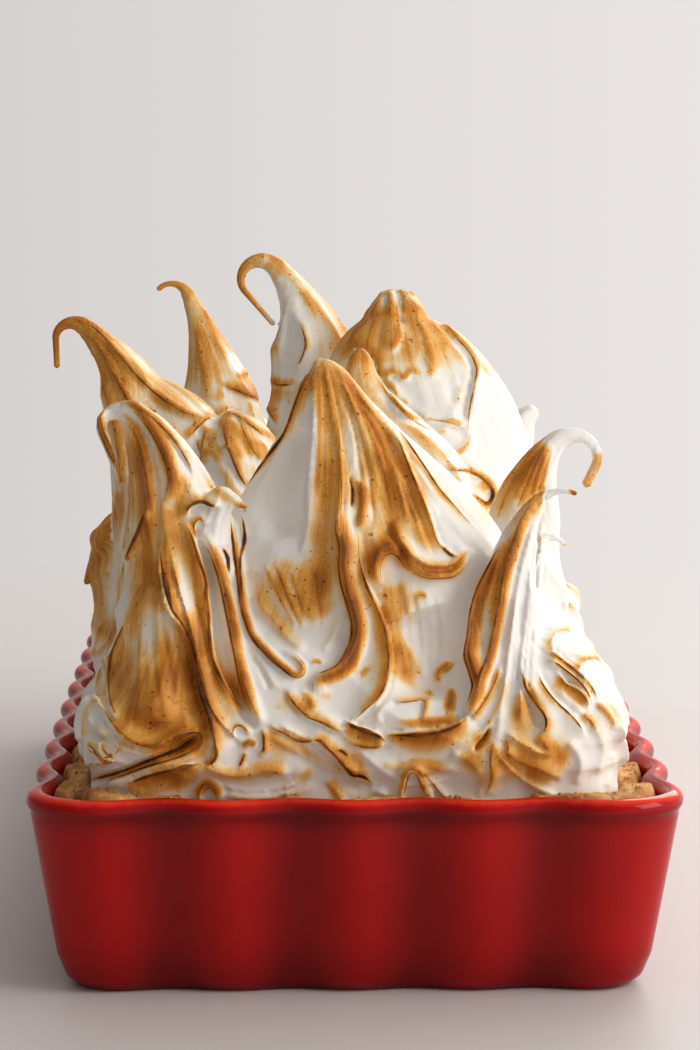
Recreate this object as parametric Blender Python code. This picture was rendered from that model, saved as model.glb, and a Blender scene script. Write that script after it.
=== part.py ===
"""Lime meringue tart in its own fluted baking dish, at real size.

Three solids: the glazed dish, the shortcrust case that lines it, and the tall
torched meringue. Metres, +Z up. The origin is the middle of the dish's
underside, the short front side faces -Y and the dish runs along Y.
"""

import math

import bmesh
import bpy
import numpy as np
from mathutils import Vector

# Dish: sizes at the crests of its flutes.
DISH_HEIGHT = 0.0478
FLUTES_SHORT, FLUTES_LONG = 4, 11
PITCH_SHORT, PITCH_LONG = 0.0300, 0.0296
RIM_CORNER = 0.0180
RIM_HALF_WIDTH = RIM_CORNER + FLUTES_SHORT * PITCH_SHORT / 2
RIM_HALF_LENGTH = RIM_CORNER + FLUTES_LONG * PITCH_LONG / 2
WALL = 0.0050
FLOOR = 0.0060
FLOOR_ROUNDING, FLOOR_ROUNDING_TOP = 0.0030, 0.0100
STRAIGHT_WALL_TOP = 0.0380
LIP = 0.0026
LIP_STEPS, LIP_FROM, LIP_TURN = 6, -50, 250
FLUTE_DEPTH = 0.0030
POINTS_PER_FLUTE = 4
POINTS_PER_CORNER = 4

# The outer wall from the foot up: height, inset from the rim line, corner radius, flute depth.
OUTER_WALL = (
    (0.0000, 0.0114, 0.0105, 0.0016),
    (0.0024, 0.0088, 0.0116, 0.0022),
    (0.0080, 0.0068, 0.0124, 0.0026),
    (0.0240, 0.0040, 0.0148, 0.0030),
    (0.0415, 0.0010, 0.0174, 0.0030),
)

# Shortcrust case.
GAP = 0.0003
CRUST_BORDER = 0.0088
CRUST_TOP = 0.0462
CRUST_CORNER_RISE = 0.0030
CRUST_RELIEF = 0.0011
CRUMB_WAVES = ((0.31, 151, 83), (0.31, -97, 263), (0.38, 590, -431))
CORNER_FROM_X, CORNER_FROM_Y, CORNER_SWELL = 0.62, 0.82, 1.6
RECESS_FLOOR = 0.0400
RECESS_CORNER = 0.0125

# The border's top from the wall in: share of the way to the recess, drop, shift of the crumb waves.
BORDER_TOP = ((0.03, 0.0016, 0.0), (0.30, 0.0000, 0.7), (0.66, 0.0003, 2.1), (0.97, 0.0012, 3.3))

# Meringue: one mound with peaks drawn up out of it.
MOUND_POINTS = 52
PEAK_RINGS = 6
HOOK_RINGS = 6
HOOK_THINNING, BLUNT_THINNING = 3.0, 1.2
HOOK_TIGHTENING = 0.25
FULL_RIDGE_AT = 0.006
TIP_CAP = 0.35
LOWEST_FOOT = 0.0515
LUMP_WAVES = ((0.30, 70, 118), (0.30, -70, 118), (0.40, 205, -205))
LUMP_SHIFT = 0.5

# How much more the mound draws in at the two ends than along the sides.
END_SLOPE = 2.6

# The mound from the recess up: height, outset from the recess wall, corner radius, lump height.
MOUND_WALL = (
    (0.0403, 0.0000, 0.0125, 0.0000),
    (0.0506, 0.0000, 0.0125, 0.0000),
    (0.0530, 0.0018, 0.0150, 0.0010),
    (0.0580, 0.0028, 0.0180, 0.0020),
    (0.0660, 0.0000, 0.0200, 0.0024),
    (0.0760, -0.0060, 0.0220, 0.0028),
    (0.0860, -0.0140, 0.0220, 0.0028),
    (0.0940, -0.0250, 0.0200, 0.0024),
    (0.0990, -0.0400, 0.0160, 0.0014),
)


def peak(foot, waist, neck, radii, tip, depth, hook, curl, heading, lean,
         flutes=5, ridge=0.16, twist=0.0, turn=0.0, flare=1.45):
    """One drawn peak, as a dict of its sizes.

    foot is where it rises from the mound (x, y), waist and neck are points that
    its middle line passes (x, y, z), radii are its half widths at foot, waist and
    neck, and tip is the radius it ends with. depth is its thickness over its
    width. From the neck it goes on as an arc: hook is the arc's radius, curl its
    turn in degrees, heading the compass angle it bends towards (0 is +X) and lean
    the angle from upright at which the arc starts. turn rotates its wide side, and
    a flare over 1 makes its flanks hollow.
    """
    return dict(foot=foot, waist=waist, neck=neck, radii=radii, tip=tip, depth=depth,
                hook=hook, curl=curl, heading=heading, lean=lean, flutes=flutes,
                ridge=ridge, twist=twist, turn=turn, flare=flare)


PEAKS = {
    "front_left": peak((-0.040, -0.140), (-0.0370, -0.141, 0.100), (-0.0490, -0.144, 0.1300),
                       (0.0250, 0.0170, 0.0046), 0.0011, 0.90, 0.0064, 200, 180, 38, 6),
    "front_blade": peak((-0.001, -0.131), (0.0015, -0.132, 0.100), (-0.0065, -0.138, 0.1430),
                        (0.0480, 0.0385, 0.0062), 0.0030, 0.60, 0.010, 22, 180, 8, 8, 0.12, flare=1.15),
    "front_right": peak((0.043, -0.142), (0.0370, -0.148, 0.080), (0.0412, -0.149, 0.1095),
                        (0.0230, 0.0105, 0.0032), 0.0010, 1.0, 0.0095, 70, 0, 22, 6),
    "right_arch": peak((0.040, -0.103), (0.0435, -0.105, 0.095), (0.0480, -0.105, 0.1185),
                       (0.0260, 0.0125, 0.0056), 0.0013, 0.85, 0.0080, 190, 0, 12, 6),
    "right_curl": peak((0.046, -0.120), (0.0460, -0.119, 0.085), (0.0470, -0.118, 0.0985),
                       (0.0170, 0.0075, 0.0026), 0.0011, 1.0, 0.0042, 150, 0, 10),
    "second_spike": peak((0.020, -0.088), (0.0140, -0.086, 0.112), (0.0045, -0.085, 0.1400),
                         (0.0340, 0.0190, 0.0050), 0.0032, 0.8, 0.012, 22, 0, -8),
    "back_blade": peak((0.021, -0.036), (0.0230, -0.036, 0.116), (0.0150, -0.035, 0.1520),
                       (0.0400, 0.0310, 0.0115), 0.0052, 0.62, 0.040, 8, 180, 4, 8, 0.12, flare=0.9),
    "back_loop": peak((-0.008, -0.022), (-0.0100, -0.021, 0.132), (-0.0125, -0.020, 0.1590),
                      (0.0340, 0.0160, 0.0052), 0.0015, 0.85, 0.0092, 240, 180, 6, 6),
    "rear_hook": peak((-0.030, 0.048), (-0.0370, 0.050, 0.124), (-0.0420, 0.050, 0.1480),
                      (0.0320, 0.0130, 0.0042), 0.0014, 0.85, 0.0088, 120, 180, 26, 6),
    "left_hook": peak((-0.044, -0.084), (-0.0515, -0.085, 0.116), (-0.0630, -0.085, 0.1480),
                      (0.0260, 0.0110, 0.0050), 0.0013, 0.90, 0.0090, 125, 180, 56, 6),
    "left_swirl": peak((-0.028, -0.090), (-0.0290, -0.090, 0.112), (-0.0310, -0.090, 0.1310),
                       (0.0280, 0.0180, 0.0085), 0.0040, 0.9, 0.010, 30, 180, 10),
    "left_bulge": peak((-0.050, -0.066), (-0.0530, -0.066, 0.078), (-0.0570, -0.068, 0.0950),
                       (0.0180, 0.0150, 0.0095), 0.0050, 1.3, 0.012, 40, 190, 20),
    "right_bulge": peak((0.047, -0.082), (0.0510, -0.084, 0.066), (0.0540, -0.085, 0.0780),
                        (0.0180, 0.0150, 0.0090), 0.0050, 1.3, 0.012, 30, 0, 20),
    "middle_mass": peak((0.002, -0.062), (0.0020, -0.062, 0.108), (0.0030, -0.062, 0.1210),
                        (0.0480, 0.0300, 0.0170), 0.0100, 0.9, 0.020, 12, 90, 0),
    "rear_white": peak((0.044, 0.104), (0.0540, 0.108, 0.092), (0.0590, 0.110, 0.1080),
                       (0.0240, 0.0130, 0.0060), 0.0030, 1.1, 0.010, 50, 0, 15),
    "rear_centre": peak((0.006, 0.026), (0.0050, 0.030, 0.112), (0.0010, 0.034, 0.1320),
                        (0.0420, 0.0220, 0.0070), 0.0030, 0.7, 0.012, 70, 70, 8, turn=35),
    "rear_twist": peak((0.022, 0.078), (0.0200, 0.082, 0.106), (0.0150, 0.086, 0.1250),
                       (0.0380, 0.0190, 0.0060), 0.0020, 0.7, 0.010, 120, 130, 12, turn=-30),
    "rear_fold": peak((-0.024, 0.098), (-0.0280, 0.102, 0.102), (-0.0330, 0.104, 0.1190),
                      (0.0340, 0.0170, 0.0055), 0.0018, 0.75, 0.009, 130, 205, 14, turn=50),
    "rear_end": peak((0.004, 0.132), (0.0040, 0.138, 0.104), (0.0020, 0.142, 0.1240),
                     (0.0420, 0.0220, 0.0060), 0.0020, 0.62, 0.009, 110, 60, 8, turn=8),
    "rear_left": peak((-0.038, 0.138), (-0.0420, 0.143, 0.088), (-0.0450, 0.146, 0.1050),
                      (0.0250, 0.0140, 0.0050), 0.0016, 0.9, 0.008, 140, 120, 18),
    "rear_right": peak((0.038, 0.139), (0.0410, 0.144, 0.086), (0.0430, 0.147, 0.1020),
                       (0.0250, 0.0140, 0.0050), 0.0016, 0.9, 0.008, 130, 40, 18),
    "left_rear_bulge": peak((-0.042, 0.006), (-0.0490, 0.004, 0.082), (-0.0540, 0.002, 0.0990),
                            (0.0240, 0.0170, 0.0075), 0.0030, 1.3, 0.010, 80, 190, 18),
    "right_rear_bulge": peak((0.042, 0.028), (0.0480, 0.026, 0.082), (0.0520, 0.024, 0.0980),
                             (0.0240, 0.0170, 0.0075), 0.0030, 1.3, 0.010, 75, 350, 15),
    "right_mid_fold": peak((0.044, -0.024), (0.0500, -0.026, 0.080), (0.0540, -0.028, 0.0930),
                           (0.0220, 0.0150, 0.0070), 0.0030, 1.4, 0.009, 70, 10, 18),
}


def clear_scene():
    """Leave an empty scene."""
    for obj in list(bpy.data.objects):
        bpy.data.objects.remove(obj, do_unlink=True)


def material(name, colour, roughness, coat=0.0):
    """A Principled material of one colour."""
    made = bpy.data.materials.new(name)
    made.use_nodes = True
    shader = made.node_tree.nodes["Principled BSDF"]
    shader.inputs["Base Color"].default_value = (*colour, 1.0)
    shader.inputs["Roughness"].default_value = roughness
    shader.inputs["Metallic"].default_value = 0.0
    shader.inputs["Coat Weight"].default_value = coat
    return made


def quarter_outline(half_width, half_length, corner, flute_depth):
    """The right front quarter of a fluted outline, from the front's middle to the right side's middle."""
    run_x, run_y = half_width - corner, half_length - corner
    points = []

    def fluted(run, pitches, total):
        """Places along a run from its middle to the corner, and how far each lies in from the crests."""
        pitch = total / pitches
        count = round(run / pitch * POINTS_PER_FLUTE)
        for i in range(count):
            along = run * i / count
            phase = 2 * math.pi * (run - along) / pitch
            yield along, flute_depth * (1 - math.cos(phase)) / 2

    for along, inset in fluted(run_x, FLUTES_SHORT, 2 * run_x):
        points.append((along, -half_length + inset))
    for i in range(POINTS_PER_CORNER + 1):
        angle = -math.pi / 2 + math.pi / 2 * i / POINTS_PER_CORNER
        points.append((run_x + corner * math.cos(angle), -run_y + corner * math.sin(angle)))
    side = [(half_width - inset, -along) for along, inset in fluted(run_y, FLUTES_LONG, 2 * run_y)]
    return points + side[::-1]


def outline(half_width, half_length, corner, flute_depth):
    """The whole outline, anticlockwise from the front's middle."""
    quarter = quarter_outline(half_width, half_length, corner, flute_depth)
    right = quarter + [(x, -y) for x, y in quarter[-2::-1]]
    return right + [(-x, y) for x, y in right[-2:0:-1]]


def ring(inset, z, corner, flute_depth):
    """An outline of the dish, this far in from its rim line, at height z."""
    flat = outline(RIM_HALF_WIDTH - inset, RIM_HALF_LENGTH - inset, corner, flute_depth)
    return [Vector((x, y, z)) for x, y in flat]


def new_object(name, mesh_edit, dressing, collection):
    """A mesh object from a bmesh, smooth but for its sharp edges."""
    mesh = bpy.data.meshes.new(name)
    bmesh.ops.triangulate(mesh_edit, faces=mesh_edit.faces)
    bmesh.ops.recalc_face_normals(mesh_edit, faces=mesh_edit.faces)
    mesh_edit.to_mesh(mesh)
    mesh_edit.free()
    mesh.shade_smooth()
    mesh.set_sharp_from_angle(angle=math.radians(50))
    mesh.materials.append(dressing)
    obj = bpy.data.objects.new(name, mesh)
    collection.objects.link(obj)
    return obj


def loft(rings):
    """A closed bmesh through rings of equal count, with a fan over each end."""
    edit = bmesh.new()
    rows = [[edit.verts.new(point) for point in row] for row in rings]
    count = len(rows[0])
    for low, high in zip(rows, rows[1:]):
        for i in range(count):
            j = (i + 1) % count
            edit.faces.new((low[i], low[j], high[j], high[i]))
    for row, flip in ((rows[0], True), (rows[-1], False)):
        middle = edit.verts.new(sum((v.co for v in row), Vector()) / count)
        for i in range(count):
            ends = (row[i], row[(i + 1) % count])
            edit.faces.new((middle, *(ends[::-1] if flip else ends)))
    return edit


def wall_inset(z):
    """The outer wall's inset, corner radius and flute depth at a height."""
    heights = [row[0] for row in OUTER_WALL]
    return [float(np.interp(z, heights, [row[k] for row in OUTER_WALL])) for k in (1, 2, 3)]


def inner_ring(z, gap=0.0):
    """An outline of the dish's inner wall at a height, drawn in by a gap."""
    inset, corner, flute = wall_inset(z)
    return ring(inset + WALL + gap, z, max(corner - WALL / 2, 0.004), flute * 0.9)


def build_dish(collection):
    """Fluted dish: flaring wall, rolled lip, flat floor and flat foot."""
    rings = [ring(inset, z, corner, flute) for z, inset, corner, flute in OUTER_WALL]
    lip_middle = DISH_HEIGHT - LIP
    for step in range(LIP_STEPS):
        angle = math.radians(LIP_FROM + LIP_TURN * step / (LIP_STEPS - 1))
        out = LIP * math.cos(angle)
        z = lip_middle + LIP * math.sin(angle)
        rings.append(ring(LIP - out, z, RIM_CORNER - LIP + out, FLUTE_DEPTH))
    rings += [inner_ring(z) for z in (STRAIGHT_WALL_TOP, FLOOR_ROUNDING_TOP)]
    inset, corner, flute = wall_inset(FLOOR)
    rings.append(ring(inset + WALL + FLOOR_ROUNDING, FLOOR, corner * 0.7, flute * 0.6))
    return new_object("dish", loft(rings), material("glazed_red", (0.30, 0.012, 0.010), 0.16, 0.5),
                      collection)


def waves(x, y, shift, series):
    """A sum of plane waves at a place: series holds (share, turns along X, turns along Y)."""
    return sum(share * math.sin(along_x * x + along_y * y + shift) for share, along_x, along_y in series)


def corner_rise(x, y):
    """0 along the sides, 1 in a corner."""
    across = max(0.0, abs(x) / RIM_HALF_WIDTH - CORNER_FROM_X) / (1 - CORNER_FROM_X)
    along = max(0.0, abs(y) / RIM_HALF_LENGTH - CORNER_FROM_Y) / (1 - CORNER_FROM_Y)
    return min(1.0, across * along * CORNER_SWELL)


def crust_top_ring(share, drop, shift):
    """A ring on the border's top, this share of the way from the wall to the recess."""
    outer = inner_ring(CRUST_TOP, GAP)
    inner = recess_ring(CRUST_TOP, len(outer))
    made = []
    for a, b in zip(outer, inner):
        point = a.lerp(b, share)
        rise = CRUST_CORNER_RISE * corner_rise(point.x, point.y)
        relief = CRUST_RELIEF * waves(point.x, point.y, shift, CRUMB_WAVES)
        made.append(Vector((point.x, point.y, CRUST_TOP + rise + relief - drop)))
    return made


def recess_outline(count, outset, corner):
    """A plain rounded outline of the recess, with points evenly spread from the front's middle."""
    half_width = RIM_HALF_WIDTH - WALL - CRUST_BORDER + outset
    half_length = RIM_HALF_LENGTH - WALL - CRUST_BORDER + outset
    run_x, run_y = half_width - corner, half_length - corner
    arc = corner * math.pi / 2
    quarter = run_x + arc + run_y
    made = []
    for i in range(count):
        place = 4 * i / count
        side, part = int(place) % 4, place - int(place)
        along = quarter * (part if side % 2 == 0 else 1 - part)
        if along < run_x:
            x, y = along, half_length
        elif along < run_x + arc:
            angle = math.pi / 2 * (along - run_x) / arc
            x, y = run_x + corner * math.sin(angle), run_y + corner * math.cos(angle)
        else:
            x, y = half_width, run_y - (along - run_x - arc)
        made.append((x if side < 2 else -x, -y if side in (0, 3) else y))
    return made


def recess_ring(z, count, gap=0.0):
    """The recess wall at a height."""
    return [Vector((x, y, z)) for x, y in recess_outline(count, -gap, RECESS_CORNER)]


def build_crust(collection):
    """Shortcrust case: it fills the dish up to a recess with an uneven crumbly border round it."""
    inset, corner, flute = wall_inset(FLOOR)
    floor = ring(inset + WALL + FLOOR_ROUNDING + 2 * GAP, FLOOR + GAP, corner * 0.7, flute * 0.6)
    rings = [floor, inner_ring(FLOOR_ROUNDING_TOP + GAP, 2 * GAP), inner_ring(STRAIGHT_WALL_TOP, GAP)]
    rings += [crust_top_ring(share, drop, shift) for share, drop, shift in BORDER_TOP]
    rings.append(recess_ring(RECESS_FLOOR, len(rings[0])))
    return new_object("crust", loft(rings), material("baked_pastry", (0.52, 0.30, 0.12), 0.75), collection)


def bezier(points, t):
    """A point of a Bezier curve."""
    points = list(points)
    while len(points) > 1:
        points = [a.lerp(b, t) for a, b in zip(points, points[1:])]
    return points[0]


def spine(row):
    """The middle line of a peak from under the mound to its tip, and the half width at each place."""
    foot = Vector((*row["foot"], LOWEST_FOOT))
    waist, neck = Vector(row["waist"]), Vector(row["neck"])
    heading = math.radians(row["heading"])
    towards = Vector((math.cos(heading), math.sin(heading), 0))
    up = Vector((0, 0, 1))
    lean = math.radians(row["lean"])
    leaving = up * math.cos(lean) + towards * math.sin(lean)
    at_waist = (neck - foot).normalized()
    low, high = (waist - foot).length / 3, (neck - waist).length / 3
    stretches = (
        (foot, foot + up * low, waist - at_waist * low, waist),
        (waist, waist + at_waist * high, neck - leaving * high, neck),
    )
    wide = row["radii"]
    places = []
    for number, stretch in enumerate(stretches):
        for i in range(PEAK_RINGS // 2):
            t = i / (PEAK_RINGS // 2)
            eased = 1 - (1 - t) ** row["flare"]
            places.append((bezier(stretch, t), wide[number] + (wide[number + 1] - wide[number]) * eased))
    places.append((neck, wide[2]))
    curl, radius = math.radians(row["curl"]), row["hook"]
    point, angle = neck.copy(), lean
    thinning = HOOK_THINNING if curl > 1 else BLUNT_THINNING
    step = curl / HOOK_RINGS
    for i in range(1, HOOK_RINGS + 1):
        t = i / HOOK_RINGS
        length = radius * (1 - HOOK_TIGHTENING * t) * step
        middle = angle + step / 2
        point = point + (up * math.cos(middle) + towards * math.sin(middle)) * length
        angle += step
        places.append((point, wide[2] + (row["tip"] - wide[2]) * (1 - (1 - t) ** thinning)))
    return places


def peak_rings(row):
    """Fluted rings round a peak's middle line, each square to it."""
    places = spine(row)
    flutes = row["flutes"]
    turn = math.radians(row["turn"])
    across = Vector((math.cos(turn), math.sin(turn), 0))
    rings = []
    for i, (point, half) in enumerate(places):
        before, after = places[max(i - 1, 0)][0], places[min(i + 1, len(places) - 1)][0]
        along = (after - before).normalized()
        across = (across - along * across.dot(along)).normalized()
        side = along.cross(across)
        share = i / (len(places) - 1)
        thick = half * (row["depth"] + (1 - row["depth"]) * max(0.0, 2 * share - 1))
        ridge = row["ridge"] * min(1.0, half / FULL_RIDGE_AT)
        made = []
        for k in range(2 * flutes):
            angle = math.pi * k / flutes + math.radians(row["twist"]) * share
            size = 1 - (ridge if k % 2 else 0.0)
            made.append(point + (across * math.cos(angle) * half + side * math.sin(angle) * thick) * size)
        rings.append(made)
    tip = places[-1][0] + (places[-1][0] - places[-2][0]).normalized() * row["tip"]
    rings.append([tip.lerp(point, TIP_CAP) for point in rings[-1]])
    return rings


def mound_rings():
    """Rings of the mound under the peaks, lumpy above the crust."""
    rings = []
    for number, (z, outset, corner, lump) in enumerate(MOUND_WALL):
        flat = recess_outline(MOUND_POINTS, outset - GAP, corner)
        made = []
        for x, y in flat:
            swell = lump * waves(x, y, LUMP_SHIFT * number, LUMP_WAVES)
            out = Vector((x, y, 0)).normalized() * swell
            drawn_in = 1 + END_SLOPE * min(outset, 0)
            made.append(Vector((x + out.x, y * drawn_in + out.y, z + swell)))
        rings.append(made)
    return rings


def build_meringue(collection, helpers):
    """The mound and its peaks, joined into one body."""
    finish = material("torched_meringue", (0.88, 0.80, 0.68), 0.38)
    body = new_object("meringue", loft(mound_rings()), finish, collection)
    for name, row in PEAKS.items():
        new_object(name, loft(peak_rings(row)), finish, helpers)
    join = body.modifiers.new("join_peaks", "BOOLEAN")
    join.operation = "UNION"
    join.operand_type = "COLLECTION"
    join.collection = helpers
    join.solver = "MANIFOLD"
    bpy.context.view_layer.update()
    joined = bpy.data.meshes.new_from_object(body.evaluated_get(bpy.context.evaluated_depsgraph_get()))
    body.modifiers.clear()
    body.data = joined
    for helper in list(helpers.objects):
        bpy.data.objects.remove(helper, do_unlink=True)
    return body


def new_collection(name):
    """A collection in the scene."""
    made = bpy.data.collections.new(name)
    bpy.context.scene.collection.children.link(made)
    return made


def main():
    """Build the tart."""
    clear_scene()
    tart = new_collection("lime_meringue_tart")
    helpers = new_collection("drawn_peaks")
    build_dish(tart)
    build_crust(tart)
    build_meringue(tart, helpers)


main()
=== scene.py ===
"""The looks of the lime meringue tart: dish, shortcrust, torched meringue, floor, light and camera."""

import logging
import math
from dataclasses import dataclass
from enum import Enum

import bmesh
import bpy
import numpy as np
from mathutils import Matrix, Vector
from mathutils.bvhtree import BVHTree
from mathutils.kdtree import KDTree


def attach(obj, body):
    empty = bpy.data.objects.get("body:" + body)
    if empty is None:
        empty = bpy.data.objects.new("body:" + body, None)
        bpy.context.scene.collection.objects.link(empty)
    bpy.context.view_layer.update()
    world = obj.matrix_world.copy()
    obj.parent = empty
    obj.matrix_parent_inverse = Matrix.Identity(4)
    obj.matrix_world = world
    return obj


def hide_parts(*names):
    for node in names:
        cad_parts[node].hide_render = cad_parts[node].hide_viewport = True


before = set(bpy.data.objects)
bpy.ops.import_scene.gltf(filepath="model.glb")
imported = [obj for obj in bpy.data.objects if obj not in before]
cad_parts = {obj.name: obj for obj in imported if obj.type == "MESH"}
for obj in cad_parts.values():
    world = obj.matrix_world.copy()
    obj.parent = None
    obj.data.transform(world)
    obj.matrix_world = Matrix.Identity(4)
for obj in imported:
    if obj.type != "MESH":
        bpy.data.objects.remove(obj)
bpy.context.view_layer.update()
LOG = logging.getLogger("tart")
ROOT = "root"
MM = 0.001
FAR = 1e9

Array = np.ndarray
Triple = tuple[float, float, float]
Route = tuple[tuple[float, float], ...]
Material = bpy.types.Material
Mesh = bpy.types.Mesh
Object = bpy.types.Object
Socket = bpy.types.NodeSocket


# ---------------------------------------------------------------- camera


@dataclass(frozen=True)
class PhotoCamera:
    """The photograph's camera, in the tart's frame. Pixels are in the 700 by 1050 photograph."""

    width: float = 700.0
    height: float = 1050.0
    focal_px: float = 3170.0
    sensor_mm: float = 36.0
    place: Triple = (-0.01805, -0.9025, 0.19964)
    pitch: float = math.radians(6.874)
    yaw: float = math.radians(1.287)
    roll: float = math.radians(0.14)
    nearest: float = 0.01
    farthest: float = 20.0

    def axes(self) -> tuple[Array, Array, Array]:
        """Right, up and forward of the camera.

        Returns:
            Three unit vectors in the tart's frame.
        """
        forward = Vector((math.sin(self.yaw) * math.cos(self.pitch),
                          math.cos(self.yaw) * math.cos(self.pitch), -math.sin(self.pitch)))
        level = Vector((math.cos(self.yaw), -math.sin(self.yaw), 0.0))
        upright = level.cross(forward)
        right = level * math.cos(self.roll) + upright * math.sin(self.roll)
        up = upright * math.cos(self.roll) - level * math.sin(self.roll)
        return np.array(right), np.array(up), np.array(forward)

    def project(self, points: Array) -> Array:
        """Where points fall in the photograph.

        Args:
            points: Places, one row each, in metres.

        Returns:
            A row for each: pixel across, pixel down, and distance along the view in metres.
        """
        right, up, forward = self.axes()
        away = points - np.array(self.place)
        depth = away @ forward
        across = self.width / 2 + self.focal_px * (away @ right) / depth
        down = self.height / 2 - self.focal_px * (away @ up) / depth
        return np.stack([across, down, depth], axis=1)

    def rays(self, pixels: Array) -> Array:
        """Ways from the camera through pixels, one row each.

        Args:
            pixels: Pixel places, one row each.

        Returns:
            Unit vectors, one row each.
        """
        right, up, forward = self.axes()
        across = (pixels[:, :1] - self.width / 2) / self.focal_px
        down = (pixels[:, 1:2] - self.height / 2) / self.focal_px
        return unit(forward + across * right - down * up)

    def build(self) -> None:
        """Put the camera in the scene and look through it."""
        lens = bpy.data.cameras.new("photo_camera")
        lens.sensor_width = self.sensor_mm
        lens.lens = self.focal_px * self.sensor_mm / self.height
        lens.clip_start = self.nearest
        lens.clip_end = self.farthest
        camera = link("photo_camera", lens)
        right, up, forward = self.axes()
        turned = Matrix((right, up, -forward)).transposed().to_4x4()
        turned.translation = Vector(self.place)
        camera.matrix_world = turned
        bpy.context.scene.camera = camera


CAMERA = PhotoCamera()


# ---------------------------------------------------------------- mesh and noise tools


class Lattice:
    """Smooth random fields in space, the same on each run."""

    SIDE = 32

    def __init__(self, seed: int) -> None:
        """Draw the lattice of values from a seed."""
        self.values = np.random.default_rng(seed).uniform(-1.0, 1.0, (self.SIDE,) * 3)

    def at(self, points: Array, cell: float) -> Array:
        """The field at places.

        Args:
            points: Places, one row each.
            cell: Size of one lattice cell, in metres.

        Returns:
            A value between -1 and 1 for each place.
        """
        scaled = points / cell
        low = np.floor(scaled).astype(int)
        part = scaled - low
        part = part * part * (3 - 2 * part)
        total = np.zeros(len(points))
        for corner in np.ndindex(2, 2, 2):
            share = np.prod(np.where(corner, part, 1 - part), axis=1)
            cellwise = (low + corner) % self.SIDE
            total += share * self.values[cellwise[:, 0], cellwise[:, 1], cellwise[:, 2]]
        return total


BROAD, FINE = Lattice(7), Lattice(23)


def unit(rows: Array) -> Array:
    """Rows scaled to length 1."""
    return rows / np.maximum(np.linalg.norm(rows, axis=1, keepdims=True), 1e-12)


def faded(share: Array, run: float, least: float = 0.0) -> Array:
    """1 along a route, falling to least over a run of its length at each end."""
    return np.clip(np.minimum(share, 1 - share) / run, least, 1.0)


def points_of(mesh: Mesh) -> Array:
    """A mesh's points, one row each.

    Args:
        mesh: The mesh.

    Returns:
        Places, one row each.
    """
    points = np.empty(len(mesh.vertices) * 3, np.float32)
    mesh.vertices.foreach_get("co", points)
    return points.reshape(-1, 3).astype(np.float64)


def store(mesh: Mesh, name: str, values: Array) -> None:
    """Keep a number or vector for each point of a mesh, for its material to read.

    Args:
        mesh: The mesh.
        name: The name that its material reads.
        values: A number or a row of three for each point.
    """
    kind, key = ("FLOAT", "value") if values.ndim == 1 else ("FLOAT_VECTOR", "vector")
    layer = mesh.attributes.new(name, kind, "POINT")
    layer.data.foreach_set(key, values.astype(np.float32).ravel())


def link(name: str, data: Mesh | bpy.types.Camera | bpy.types.Light) -> Object:
    """A new object at the origin that shows a mesh, or holds a camera or lamp.

    Args:
        name: Its name.
        data: What it holds.

    Returns:
        The object.
    """
    obj = bpy.data.objects.new(name, data)
    bpy.context.scene.collection.objects.link(obj)
    return obj


def dressed(name: str, mesh: Mesh, finish: Material) -> Object:
    """A new smooth-shaded object with its material.

    Args:
        name: Its name.
        mesh: Its mesh.
        finish: Its material.

    Returns:
        The object.
    """
    mesh.shade_smooth()
    mesh.materials.append(finish)
    return link(name, mesh)


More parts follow.
